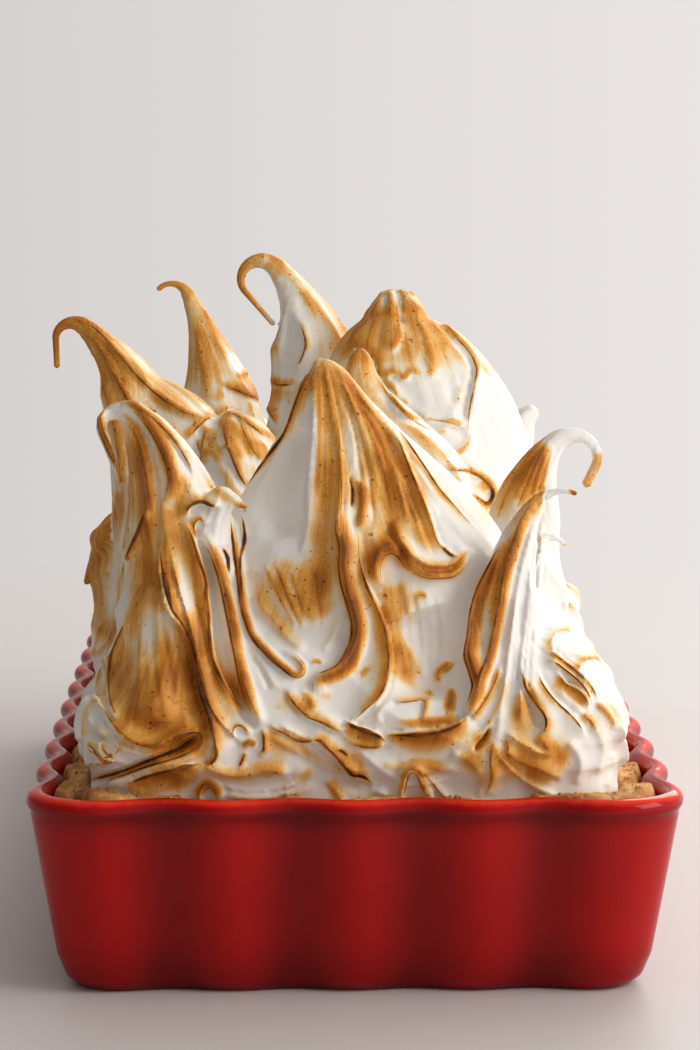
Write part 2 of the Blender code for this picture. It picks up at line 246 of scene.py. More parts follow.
class Skin:
    """A closed surface of quads held as arrays, for work on all its points at once."""

    HOLLOW = 0.02 * MM

    def __init__(self, mesh: Mesh) -> None:
        """Read a mesh of quads.

        Args:
            mesh: A closed mesh of quads alone.
        """
        self.points = points_of(mesh)
        corners = np.empty(len(mesh.loops), np.int32)
        mesh.loops.foreach_get("vertex_index", corners)
        self.quads = corners.reshape(-1, 4)
        pairs = np.concatenate([self.quads[:, [k, (k + 1) % 4]] for k in range(4)])
        pairs.sort(axis=1)
        keys = np.unique(pairs[:, 0].astype(np.int64) * len(self.points) + pairs[:, 1])
        self.ends = (keys // len(self.points), keys % len(self.points))
        self.degree = self.spread(np.ones((len(self.points), 1)))[:, 0]

    def spread(self, values: Array) -> Array:
        """The sum of the neighbours' values at each point.

        Args:
            values: Numbers, a row for each point.

        Returns:
            The sums, a row for each point.
        """
        first, second = self.ends
        total = np.empty_like(values)
        for column in range(values.shape[1]):
            one = np.bincount(first, weights=values[second, column], minlength=len(values))
            two = np.bincount(second, weights=values[first, column], minlength=len(values))
            total[:, column] = one + two
        return total

    def mean(self, values: Array) -> Array:
        """The mean of the neighbours' values at each point."""
        return self.spread(values) / self.degree[:, None]

    def normals(self) -> Array:
        """The outward normal at each point.

        Returns:
            Unit vectors, one row each.
        """
        a, b, c, d = (self.points[self.quads[:, k]] for k in range(4))
        faces = np.cross(c - a, d - b)
        total = np.zeros_like(self.points)
        for column in range(3):
            for corner in range(4):
                total[:, column] += np.bincount(self.quads[:, corner], weights=faces[:, column],
                                                minlength=len(total))
        return unit(total)

    def smoothed_normals(self, rounds: int) -> Array:
        """Normals averaged over a few rings of neighbours.

        Args:
            rounds: How many rings of neighbours count.

        Returns:
            Unit vectors, one row each.
        """
        made = self.normals()
        for _ in range(rounds):
            made = unit(made + self.mean(made))
        return made

    def relax(self, rounds: int, share: float) -> None:
        """Move each point a share of the way to its neighbours' mean, round by round."""
        for _ in range(rounds):
            self.points += share * (self.mean(self.points) - self.points)

    def fill_hollows(self, rounds: int, strength: float) -> None:
        """Round the creases between masses and leave the crests sharp.

        Args:
            rounds: How many steps the fillet grows by.
            strength: The share of each step.
        """
        for _ in range(rounds):
            pull = self.mean(self.points) - self.points
            outward = np.einsum("ij,ij->i", pull, self.normals())
            hollow = np.clip(outward / self.HOLLOW, 0.0, 1.0)
            self.points += strength * hollow[:, None] * pull

    def crest(self, rounds: int) -> Array:
        """How far each point stands out from its surroundings, in metres.

        Args:
            rounds: How many rings of neighbours count as surroundings.

        Returns:
            A height for each point, under 0 in a hollow.
        """
        even = self.points.copy()
        for _ in range(rounds):
            even = self.mean(even)
        return np.einsum("ij,ij->i", self.points - even, self.normals())

    def to_mesh(self, name: str) -> Mesh:
        """A Blender mesh of this surface.

        Args:
            name: The mesh's name.

        Returns:
            The mesh.
        """
        mesh = bpy.data.meshes.new(name)
        mesh.vertices.add(len(self.points))
        mesh.vertices.foreach_set("co", self.points.astype(np.float32).ravel())
        mesh.loops.add(self.quads.size)
        mesh.loops.foreach_set("vertex_index", self.quads.astype(np.int32).ravel())
        mesh.polygons.add(len(self.quads))
        mesh.polygons.foreach_set("loop_start", np.arange(0, self.quads.size, 4, dtype=np.int32))
        mesh.update(calc_edges=True)
        return mesh


def settled(obj: Object) -> Mesh:
    """The mesh that an object's modifiers make, with the object taken away.

    Args:
        obj: The object.

    Returns:
        The mesh.
    """
    bpy.context.view_layer.update()
    graph = bpy.context.evaluated_depsgraph_get()
    mesh = bpy.data.meshes.new_from_object(obj.evaluated_get(graph))
    bpy.data.objects.remove(obj, do_unlink=True)
    return mesh


def remeshed(mesh: Mesh, voxel: float) -> Skin:
    """One closed skin round everything that a mesh encloses.

    Args:
        mesh: Closed shells, which may run through each other.
        voxel: Size of the new faces, in metres.

    Returns:
        The skin.
    """
    obj = link("remesh", mesh)
    step = obj.modifiers.new("voxels", "REMESH")
    step.mode = "VOXEL"
    step.voxel_size = voxel
    return Skin(settled(obj))


def tube_mesh(rings: Array) -> tuple[Array, list[tuple[int, ...]]]:
    """Points and faces of a closed tube through rings.

    Args:
        rings: Ring by ring, point by point, places in metres.

    Returns:
        The points, and faces as tuples of point numbers.
    """
    count, size = rings.shape[:2]
    points = np.concatenate([rings.reshape(-1, 3), rings[0].mean(0)[None], rings[-1].mean(0)[None]])
    first, last = count * size, count * size + 1
    steps = [(k, (k + 1) % size) for k in range(size)]
    faces: list[tuple[int, ...]] = []
    for row in range(0, (count - 1) * size, size):
        faces += [(row + k, row + j, row + size + j, row + size + k) for k, j in steps]
    for k, j in steps:
        faces.append((first, j, k))
        faces.append((last, (count - 1) * size + k, (count - 1) * size + j))
    return points, faces


def gather(name: str, tubes: list[Array]) -> Mesh:
    """One mesh of many closed tubes, given as rings.

    Args:
        name: The mesh's name.
        tubes: The rings of each tube.

    Returns:
        The mesh.
    """
    points: list[Array] = []
    faces: list[tuple[int, ...]] = []
    start = 0
    for rings in tubes:
        own, own_faces = tube_mesh(rings)
        faces += [tuple(i + start for i in face) for face in own_faces]
        points.append(own)
        start += len(own)
    mesh = bpy.data.meshes.new(name)
    mesh.from_pydata(np.concatenate(points).tolist(), [], faces)
    return mesh


def smooth_route(route: Route, step: float) -> Array:
    """A smooth curve through points.

    Args:
        route: The points that it passes.
        step: Spacing of the result.

    Returns:
        Points along a Catmull-Rom curve, one row each.
    """
    points = np.array(route, dtype=float)
    padded = np.concatenate([2 * points[:1] - points[1:2], points, 2 * points[-1:] - points[-2:-1]])
    made = []
    for a, b, c, d in zip(padded, padded[1:], padded[2:], padded[3:]):
        count = max(2, int(np.linalg.norm(c - b) / step))
        t = np.arange(count)[:, None] / count
        made.append(0.5 * (2 * b + (c - a) * t + (2 * a - 5 * b + 4 * c - d) * t ** 2
                           + (3 * b - a - 3 * c + d) * t ** 3))
    return np.concatenate(made + [points[-1:]])


def rounded_ring(half_width: float, half_length: float, corner: float, count: int, centre_y: float = 0.0,
                 z: float = 0.0) -> Array:
    """A level rounded rectangle.

    Args:
        half_width: Half its size along X.
        half_length: Half its size along Y.
        corner: Corner radius.
        count: Number of points.
        centre_y: Y of its middle.
        z: Its height.

    Returns:
        Points evenly spaced along it, anticlockwise from above.
    """
    corner = min(corner, half_width, half_length)
    run_x, run_y = half_width - corner, half_length - corner
    arc = corner * math.pi / 2
    quarter = run_x + arc + run_y
    place = 4 * np.arange(count) / count
    side = place.astype(int) % 4
    part = place - np.floor(place)
    along = quarter * np.where(side % 2 == 0, part, 1 - part)
    turn = np.clip((along - run_x) / max(arc, 1e-9), 0, 1) * math.pi / 2
    x = np.minimum(along, run_x) + corner * np.sin(turn)
    y = run_y + corner * np.cos(turn) - np.maximum(along - run_x - arc, 0)
    x = np.where(side < 2, x, -x)
    y = np.where((side == 0) | (side == 3), -y, y)
    return np.stack([x, y + centre_y, np.full(count, z)], axis=1)


# ---------------------------------------------------------------- shading


class Wiring:
    """A node tree, built step by step."""

    def __init__(self, tree: bpy.types.NodeTree) -> None:
        """Take a tree to add to."""
        self.tree = tree

    def node(self, kind: str, inputs: dict[str | int, Socket | float | tuple[float, ...]] | None = None,
             **settings: str) -> bpy.types.Node:
        """Add a node.

        Args:
            kind: Its type.
            inputs: What its sockets take: the output of another node, or a value.
            **settings: Its own properties.

        Returns:
            The node.
        """
        node = self.tree.nodes.new(kind)
        for name, value in settings.items():
            setattr(node, name, value)
        for key, value in (inputs or {}).items():
            if isinstance(value, Socket):
                self.tree.links.new(value, node.inputs[key])
            else:
                node.inputs[key].default_value = value
        return node

    def math(self, operation: str, *values: Socket | float) -> Socket:
        """A sum, product or other operation on up to three values."""
        return self.node("ShaderNodeMath", dict(enumerate(values)), operation=operation).outputs[0]

    def vector(self, operation: str, value: Socket | Triple, other: Socket | Triple = (0.0, 0.0, 0.0),
               output: int = 0) -> Socket:
        """An operation on up to two vectors."""
        return self.node("ShaderNodeVectorMath", {0: value, 1: other}, operation=operation).outputs[output]

    def split(self, value: Socket, axis: str) -> Socket:
        """One component of a vector."""
        return self.node("ShaderNodeSeparateXYZ", {0: value}).outputs[axis]

    def between(self, value: Socket, low: float, high: float, least: float = 0.0, most: float = 1.0,
                kind: str = "LINEAR") -> Socket:
        """least at low, most at high and held past them.

        Args:
            value: The value that is followed.
            low: Where it gives least.
            high: Where it gives most.
            least: The first result.
            most: The last result.
            kind: How it goes from one to the other.

        Returns:
            The result.
        """
        return self.node("ShaderNodeMapRange", {"Value": value, "From Min": low, "From Max": high,
                                                "To Min": least, "To Max": most},
                         interpolation_type=kind).outputs["Result"]


class Shading(Wiring):
    """A material's node tree."""

    def __init__(self, name: str) -> None:
        """Start a material with a Principled shader.

        Args:
            name: The material's name.
        """
        self.material = bpy.data.materials.new(name)
        self.material.use_nodes = True
        super().__init__(self.material.node_tree)
        self.shader = self.tree.nodes["Principled BSDF"]

    def place(self) -> Socket:
        """The piece's own coordinates, in metres."""
        return self.node("ShaderNodeTexCoord").outputs["Object"]

    def attribute(self, name: str, output: str = "Fac") -> Socket:
        """A value or vector stored on the piece."""
        return self.node("ShaderNodeAttribute", attribute_name=name).outputs[output]

    def noise(self, vector: Socket, scale: float, detail: float = 3.0, roughness: float = 0.5) -> Socket:
        """Noise around 0.5."""
        return self.node("ShaderNodeTexNoise", {"Vector": vector, "Scale": scale, "Detail": detail,
                                                "Roughness": roughness}).outputs["Fac"]

    def streaks(self, vector: Socket, length: float, scale: float) -> Socket:
        """Noise drawn out along the third axis, length being its scale there over that across."""
        drawn = self.node("ShaderNodeMapping", {"Vector": vector, "Scale": (1.0, 1.0, length)})
        return self.noise(drawn.outputs["Vector"], scale, 3.0, 0.6)

    def varied(self, value: Socket | float, noise: Socket, amount: float) -> Socket:
        """A value moved up and down by noise."""
        return self.math("MULTIPLY_ADD", self.math("SUBTRACT", noise, 0.5), amount, value)

    def ramp(self, value: Socket, stops: tuple[tuple[float, Triple], ...]) -> Socket:
        """A colour looked up along stops of (position, colour).

        Args:
            value: Where to look, from 0 to 1.
            stops: Positions and their colours, in order.

        Returns:
            The colour.
        """
        node = self.node("ShaderNodeValToRGB", {"Fac": value})
        elements = node.color_ramp.elements
        while len(elements) < len(stops):
            elements.new(0.5)
        for element, (position, colour) in zip(elements, stops):
            element.position = position
            element.color = (*colour, 1.0)
        return node.outputs["Color"]

    def mix(self, share: Socket, first: Socket, second: Triple) -> Socket:
        """A blend of two colours: first where share is 0."""
        return self.node("ShaderNodeMix", {"Factor": share, "A": first, "B": (*second, 1.0)},
                         data_type="RGBA").outputs["Result"]

    def colour(self, colour: Socket) -> None:
        """Give the shader its colour."""
        self.tree.links.new(colour, self.shader.inputs["Base Color"])

    def set(self, **values: float | tuple[float, ...]) -> None:
        """Set the shader's own sockets; a name's underscores stand for spaces."""
        for name, value in values.items():
            self.shader.inputs[name.replace("_", " ")].default_value = value

    def bump(self, height: Socket, strength: float, distance: float) -> None:
        """Give the shader a fine relief."""
        node = self.node("ShaderNodeBump", {"Height": height, "Strength": strength, "Distance": distance})
        self.tree.links.new(node.outputs["Normal"], self.shader.inputs["Normal"])


@dataclass(frozen=True)
class RedGlaze:
    """Deep red glossy glaze, darker where it pooled in the hollows, darker again with painted shade under
    the lip and near the foot, and thin and orange on the lip.
    """

    # The darkest red: glaze pooled in the hollows, and painted shade under the lip and near the foot.
    pooled_and_shaded: Triple = (0.160, 0.0020, 0.0020)
    even: Triple = (0.480, 0.0050, 0.0040)
    thin: Triple = (0.950, 0.0380, 0.0050)
    clay: Triple = (0.520, 0.430, 0.330)

    def build(self) -> Material:
        """The glaze, which reads the attributes pool, thin and bare; pool darkens it for pooled glaze and
        for painted shade.

        Returns:
            The material.
        """
        shade = Shading("glazed_red")
        place = shade.place()
        pool = shade.varied(shade.attribute("pool"), shade.noise(place, 38.0), 0.55)
        red = shade.ramp(pool, ((0.0, self.even), (1.0, self.pooled_and_shaded)))
        ragged = shade.varied(shade.attribute("thin"), shade.noise(place, 420.0), 0.5)
        edged = shade.mix(shade.between(ragged, 0.35, 1.0), red, self.thin)
        bare = shade.between(shade.attribute("bare"), 0.4, 0.6)
        shade.colour(shade.mix(bare, edged, self.clay))
        shade.set(Roughness=0.35, Specular_IOR_Level=0.0, Coat_Weight=0.70, Coat_Roughness=0.08,
                  Coat_IOR=1.36)
        shade.bump(shade.noise(place, 95.0, 2.0), 0.10, 0.0006)
        return shade.material


@dataclass(frozen=True)
class BakedPastry:
    """Golden crumbly shortcrust, browner where it stands high."""

    name: str = "baked_pastry"
    colours: tuple[tuple[float, Triple], ...] = (
        (0.00, (0.820, 0.550, 0.250)),
        (0.35, (0.740, 0.400, 0.130)),
        (0.65, (0.540, 0.230, 0.052)),
        (1.00, (0.240, 0.080, 0.016)),
    )

    def build(self) -> Material:
        """The pastry, which reads the attribute browned.

        Returns:
            The material.
        """
        shade = Shading(self.name)
        place = shade.place()
        crumbs = shade.noise(place, 620.0, 5.0, 0.65)
        patches = shade.noise(place, 120.0, 4.0)
        level = shade.varied(shade.varied(shade.attribute("browned"), crumbs, 0.9), patches, 0.8)
        shade.colour(shade.ramp(level, self.colours))
        shade.set(Roughness=0.72, Subsurface_Weight=0.08, Subsurface_Radius=(1.0, 0.5, 0.25),
                  Subsurface_Scale=0.001)
        shade.bump(crumbs, 0.6, 0.0008)
        return shade.material


@dataclass(frozen=True)
class LimeZest:
    """Grated lime peel, baked to an olive gold."""

    colours: tuple[tuple[float, Triple], ...] = (
        (0.40, (0.420, 0.330, 0.050)),
        (0.60, (0.720, 0.420, 0.060)),
    )

    def build(self) -> Material:
        """The zest.

        Returns:
            The material.
        """
        shade = Shading("lime_zest")
        shade.colour(shade.ramp(shade.noise(shade.place(), 240.0, 1.0), self.colours))
        shade.set(Roughness=0.55)
        return shade.material


@dataclass(frozen=True)
class TorchedMeringue:
    """Satin white meringue, torched through cream and gold to dark brown."""

    colours: tuple[tuple[float, Triple], ...] = (
        (0.00, (0.895, 0.870, 0.830)),
        (0.10, (0.895, 0.825, 0.710)),
        (0.22, (0.880, 0.650, 0.350)),
        (0.36, (0.800, 0.390, 0.080)),
        (0.50, (0.570, 0.205, 0.023)),
        (0.64, (0.320, 0.096, 0.010)),
        (0.82, (0.160, 0.042, 0.006)),
        (1.00, (0.045, 0.014, 0.005)),
    )

    def build(self) -> Material:
        """The meringue, which reads the attributes toast and flow: its toasting together with painted shade.

        Returns:
            The material.
        """
        shade = Shading("torched_meringue")
        toast, flow, place = shade.attribute("toast"), shade.attribute("flow", "Vector"), shade.place()
        broad, fine = shade.streaks(flow, 0.06, 300.0), shade.streaks(flow, 0.035, 1300.0)
        clouds, grain = shade.noise(place, 75.0, 4.0), shade.noise(place, 2600.0, 2.0)
        specks = shade.noise(place, 820.0, 1.0)
        browned = shade.math("MINIMUM", shade.math("MULTIPLY", toast, 3.6), 1.0)
        level = toast
        for noise, amount in ((broad, 0.34), (fine, 0.26), (clouds, 0.16), (grain, 0.20)):
            level = shade.varied(level, noise, amount)
        level = shade.math("MULTIPLY", level, browned)
        dots = shade.math("MULTIPLY", shade.between(specks, 0.71, 0.74), browned)
        shade.colour(shade.ramp(shade.math("MULTIPLY_ADD", dots, 0.25, level), self.colours))
        shade.set(Roughness=0.42, Specular_IOR_Level=0.18, Subsurface_Weight=0.10,
                  Subsurface_Radius=(1.0, 0.8, 0.6), Subsurface_Scale=0.0010)
        shade.bump(shade.math("MULTIPLY_ADD", fine, 0.5, broad), 0.30, 0.0006)
        return shade.material


# ---------------------------------------------------------------- meringue


@dataclass(frozen=True)
class Peak:
    """One drawn peak. Sizes in metres, angles in degrees.

    Its middle line rises from foot through waist to neck, and goes on as an arc of radius hook that
    turns by curl towards heading. lean is the angle from upright where the arc starts, radii are half
    widths at foot, waist and neck, tip is the last radius, depth the thickness over the width. trail is
    the length of the straight thread past the arc, and base the height of the foot.
    """

    foot: tuple[float, float]
    waist: Triple
    neck: Triple
    radii: Triple
    tip: float
    depth: float
    hook: float
    curl: float
    heading: float
    lean: float
    flutes: int = 6
    ridge: float = 0.13
    turn: float = 0.0
    flare: float = 1.45
    twist: float = 30.0
    trail: float = 0.0
    base: float = 0.0515

    STEPS = 26
    HOOK_STEPS = 44
    TRAIL_STEPS = 16
    SIDES = 72
    TIGHTENING = 0.25
    # A hook that turns further than this thins faster.
    LONG_CURL, LONG_THINNING, SHORT_THINNING = 60, 3.0, 1.2
    # Below this half width the flutes fade away.
    FLUTED = 0.004
    # Half width of the even tube that flow unrolls a peak onto, and what it adds to each half width.
    TUBE, ROUND = 0.018, 1.5 * MM

    def spine(self) -> tuple[Array, Array]:
        """The middle line, and the half width at each place.

        Returns:
            Places from foot to tip, one row each, and a half width for each.
        """
        foot = np.array([*self.foot, self.base])
        waist, neck = np.array(self.waist), np.array(self.neck)
        heading, lean = math.radians(self.heading), math.radians(self.lean)
        towards = np.array([math.cos(heading), math.sin(heading), 0.0])
        up = np.array([0.0, 0.0, 1.0])
        leaving = up * math.cos(lean) + towards * math.sin(lean)
        through = (neck - foot) / np.linalg.norm(neck - foot)
        low, high = np.linalg.norm(waist - foot) / 3, np.linalg.norm(neck - waist) / 3
        stretches = ((foot, foot + up * low, waist - through * low, waist),
                     (waist, waist + through * high, neck - leaving * high, neck))
        t = (np.arange(self.STEPS) / self.STEPS)[:, None]
        line, width = [], []
        for number, (a, b, c, d) in enumerate(stretches):
            line.append(a * (1 - t) ** 3 + 3 * b * t * (1 - t) ** 2 + 3 * c * t * t * (1 - t) + d * t ** 3)
            eased = 1 - (1 - t[:, 0]) ** self.flare
            width.append(self.radii[number] + (self.radii[number + 1] - self.radii[number]) * eased)
        points, widths = [neck], [self.radii[2]]
        step = math.radians(self.curl) / self.HOOK_STEPS
        point, angle = neck, lean
        thinning = self.LONG_THINNING if self.curl > self.LONG_CURL else self.SHORT_THINNING
        trail_steps = self.TRAIL_STEPS if self.trail else 0
        arc = self.hook * math.radians(self.curl)
        for i in range(1, self.HOOK_STEPS + trail_steps + 1):
            share = min(1.0, i / self.HOOK_STEPS)
            middle = angle + step / 2
            length = self.hook * (1 - self.TIGHTENING * share) * step
            if i > self.HOOK_STEPS:
                middle, step = angle, 0.0
                length = self.trail / self.TRAIL_STEPS
            point = point + (up * math.cos(middle) + towards * math.sin(middle)) * length
            angle += step
            beyond = max(0, i - self.HOOK_STEPS) / self.TRAIL_STEPS * self.trail
            gone = (share * arc + beyond) / (arc + self.trail)
            points.append(point)
            widths.append(self.radii[2] + (self.tip - self.radii[2]) * (1 - (1 - gone) ** thinning))
        return np.concatenate(line + [np.array(points)]), np.concatenate(width + [np.array(widths)])

    def rings(self) -> Array:
        """Fluted rings square to the middle line, from foot to tip.

        Returns:
            Ring by ring, point by point, places in metres.
        """
        line, width = self.spine()
        turn = math.radians(self.turn)
        across = np.array([math.cos(turn), math.sin(turn), 0.0])
        angle = 2 * math.pi * np.arange(self.SIDES) / self.SIDES
        made = []
        for i, (point, half) in enumerate(zip(line, width)):
            along = line[min(i + 1, len(line) - 1)] - line[max(i - 1, 0)]
            along /= np.linalg.norm(along)
            across = across - along * (across @ along)
            across /= np.linalg.norm(across)
            side = np.cross(along, across)
            share = i / (len(line) - 1)
            thick = half * (self.depth + (1 - self.depth) * max(0.0, 2 * share - 1))
            ridge = self.ridge * min(1.0, half / self.FLUTED)
            wander = math.radians(self.twist) * share + 0.5 * math.sin(5 * share + self.heading)
            phase = self.flutes * (angle + wander) / 2 + 0.35 * np.sin(2 * angle + 7 * share)
            size = 1 - ridge * np.abs(np.sin(phase)) ** 0.8
            made.append(point + np.outer(np.cos(angle) * half * size, across)
                        + np.outer(np.sin(angle) * thick * size, side))
        tip = line[-1] + (line[-1] - line[-2]) / np.linalg.norm(line[-1] - line[-2]) * self.tip
        made.append(tip + 0.35 * (made[-1] - tip))
        return np.array(made)

    def flow(self, points: Array) -> tuple[Array, Array]:
        """How near points are to this peak, and where on it they lie.

        Args:
            points: Places, one row each.

        Returns:
            Distance over half width at each place, and rows of places on a tube of even width, whose
            third value runs along the peak, in metres.
        """
        line, width = self.spine()
        best = np.full(len(points), FAR)
        chosen = np.zeros(len(points), int)
        for i in range(0, len(line), 2):
            far = np.linalg.norm(points - line[i], axis=1) / (width[i] + self.ROUND)
            nearer = far < best
            best[nearer], chosen[nearer] = far[nearer], i
        way = unit(np.gradient(line, axis=0))
        length = np.concatenate([[0], np.cumsum(np.linalg.norm(np.diff(line, axis=0), axis=1))])
        away = points - line[chosen]
        ahead = np.einsum("ij,ij->i", away, way[chosen])
        angle = np.arctan2(away[:, 1], away[:, 0])
        x, y = np.cos(angle) * self.TUBE, np.sin(angle) * self.TUBE
        return best, np.stack([x, y, length[chosen] + ahead], axis=1)


PEAKS: dict[str, Peak] = {
    "front_left": Peak((-0.040, -0.140), (-0.0412, -0.141, 0.100), (-0.0522, -0.144, 0.1336),
            (0.0250, 0.0152, 0.0044), 0.0007, 0.90, 0.0052, 164, 180, 36, trail=0.0120, flare=0.8),
    "shoulder_tip": Peak((-0.0352, -0.1475), (-0.0318, -0.1490, 0.1148), (-0.0288, -0.1500, 0.1146),
            (0.0062, 0.0038, 0.0019), 0.0005, 0.9, 0.0180, 8, 0, 112, trail=0.0008, base=0.104),
    "front_blade": Peak((-0.002, -0.131), (-0.0006, -0.132, 0.100), (-0.0068, -0.138, 0.1430),
            (0.0480, 0.0402, 0.0064), 0.0030, 0.60, 0.010, 22, 180, 8, 8, 0.06, flare=1.12),
    "front_right": Peak((0.042, -0.142), (0.0358, -0.148, 0.080), (0.0430, -0.149, 0.1132), (0.0230, 0.0108,
            0.0026), 0.0006, 1.0, 0.0092, 80, 0, 34, 8, 0.12, flare=1.1),
    "right_arch": Peak((0.040, -0.103), (0.0450, -0.105, 0.1080), (0.0518, -0.105, 0.1243), (0.0215, 0.0094,
            0.0031), 0.0012, 0.85, 0.0068, 162, 0, 44, 5, 0.10, flare=1.1, trail=0.0050),
    "right_curl": Peak((0.042, -0.121), (0.0435, -0.119, 0.0850), (0.0462, -0.118, 0.0985), (0.0150, 0.0070,
            0.0024), 0.0006, 1.0, 0.0042, 150, 0, 10),
    "second_spike": Peak((0.020, -0.088), (0.0140, -0.086, 0.112), (0.0030, -0.085, 0.1422), (0.0340, 0.0190,
            0.0046), 0.0038, 0.8, 0.012, 14, 0, -6),
    "back_blade": Peak((0.020, -0.036), (0.0185, -0.036, 0.118), (0.0138, -0.035, 0.1515), (0.0400, 0.0326,
            0.0096), 0.0086, 0.50, 0.030, 6, 180, 4, 4, 0.08, flare=0.60, twist=8),
    "back_corner_left": Peak((0.0110, -0.035), (0.0105, -0.035, 0.1465), (0.0100, -0.035, 0.1540),
            (0.0130, 0.0078, 0.0046), 0.0026, 0.80, 0.010, 10, 180, 8, 4, base=0.125),
    "back_corner_right": Peak((0.0155, -0.035), (0.0165, -0.035, 0.1475), (0.0172, -0.035, 0.1560),
            (0.0140, 0.0084, 0.0048), 0.0024, 0.80, 0.010, 12, 0, 10, 4, base=0.125),
    "back_loop": Peak((-0.008, -0.022), (-0.0090, -0.020, 0.1440), (-0.0184, -0.020, 0.1648),
            (0.0340, 0.0118, 0.0034), 0.0008, 0.85, 0.0063, 183, 180, 38, trail=0.0118),
    "rear_hook": Peak((-0.030, 0.048), (-0.0365, 0.050, 0.1245), (-0.0452, 0.050, 0.1540), (0.0320, 0.0122,
            0.0025), 0.0008, 0.85, 0.0062, 105, 180, 22, trail=0.0010),
    "left_hook": Peak((-0.042, -0.084), (-0.0570, -0.085, 0.1370), (-0.0682, -0.085, 0.1524),
            (0.0280, 0.0085, 0.0026), 0.0008, 0.90, 0.0050, 132, 180, 50, 5, trail=0.0070),
    "left_wing": Peak((-0.038, -0.088), (-0.0455, -0.086, 0.1245), (-0.0595, -0.085, 0.1412),
            (0.0280, 0.0135, 0.0034), 0.0024, 0.80, 0.0060, 10, 180, 50, 6, 0.12),
    "left_brim": Peak((-0.0500, -0.067), (-0.0592, -0.0670, 0.0975), (-0.0652, -0.0670, 0.0900),
            (0.0110, 0.0062, 0.0036), 0.0008, 0.80, 0.0420, 12, 180, 142, 5, base=0.096),
    "left_swirl": Peak((-0.028, -0.090), (-0.0290, -0.090, 0.106), (-0.0295, -0.090, 0.1225),
            (0.0300, 0.0190, 0.0120), 0.0080, 0.9, 0.009, 24, 180, 6, 9, 0.14, twist=60),
    "left_bulge": Peak((-0.050, -0.066), (-0.0560, -0.066, 0.076), (-0.0600, -0.067, 0.0890),
            (0.0190, 0.0155, 0.0095), 0.0050, 1.3, 0.012, 40, 190, 20),
    "right_bulge": Peak((0.047, -0.082), (0.0510, -0.084, 0.066), (0.0540, -0.085, 0.0780), (0.0180, 0.0150,
            0.0090), 0.0050, 1.3, 0.012, 30, 0, 20),
    "middle_mass": Peak((0.002, -0.062), (0.0020, -0.062, 0.108), (0.0030, -0.062, 0.1210), (0.0480, 0.0300,
            0.0170), 0.0100, 0.9, 0.020, 12, 90, 0, 9),
    "rear_white": Peak((0.044, 0.104), (0.0540, 0.108, 0.092), (0.0590, 0.110, 0.1080), (0.0240, 0.0130,
            0.0060), 0.0030, 1.1, 0.010, 50, 0, 15),
    "rear_centre": Peak((0.006, 0.026), (0.0050, 0.030, 0.112), (0.0010, 0.034, 0.1320), (0.0420, 0.0220,
            0.0070), 0.0030, 0.7, 0.012, 70, 70, 8, 8, turn=35),
    "rear_twist": Peak((0.022, 0.078), (0.0200, 0.082, 0.106), (0.0150, 0.086, 0.1250), (0.0380, 0.0190,
            0.0060), 0.0020, 0.7, 0.010, 120, 130, 12, 7, turn=-30),
    "rear_fold": Peak((-0.024, 0.098), (-0.0280, 0.102, 0.102), (-0.0330, 0.104, 0.1190), (0.0340, 0.0170,
            0.0055), 0.0018, 0.75, 0.009, 130, 205, 14, 7, turn=50),
    "rear_end": Peak((0.004, 0.132), (0.0040, 0.138, 0.104), (0.0020, 0.142, 0.1240), (0.0420, 0.0220,
            0.0060), 0.0020, 0.62, 0.009, 110, 60, 8, 8, turn=8),
    "rear_left": Peak((-0.038, 0.138), (-0.0420, 0.143, 0.088), (-0.0450, 0.146, 0.1050), (0.0250, 0.0140,
            0.0050), 0.0014, 0.9, 0.008, 140, 120, 18),
    "rear_right": Peak((0.038, 0.139), (0.0410, 0.144, 0.086), (0.0430, 0.147, 0.1020), (0.0250, 0.0140,
            0.0050), 0.0014, 0.9, 0.008, 130, 40, 18),
    "left_rear_bulge": Peak((-0.042, 0.006), (-0.0490, 0.004, 0.082), (-0.0540, 0.002, 0.0990),
            (0.0240, 0.0170, 0.0075), 0.0030, 1.3, 0.010, 80, 190, 18),
    "right_rear_bulge": Peak((0.042, 0.028), (0.0480, 0.026, 0.082), (0.0520, 0.024, 0.0980),
            (0.0240, 0.0170, 0.0075), 0.0030, 1.3, 0.010, 75, 350, 15),
    "right_mid_fold": Peak((0.044, -0.024), (0.0490, -0.026, 0.070), (0.0520, -0.028, 0.0810),
            (0.0220, 0.0150, 0.0070), 0.0030, 1.4, 0.009, 70, 10, 18),
}


class Edge(Enum):
    """How a fold stands out of the meringue."""

    LIP = "rises softly on one side and drops sharply on the other"
    RIDGE = "rises on both sides to a crest"
    ROLL = "is a round strand"
    SWELL = "is a soft bulge"
    GROOVE = "is pressed in"


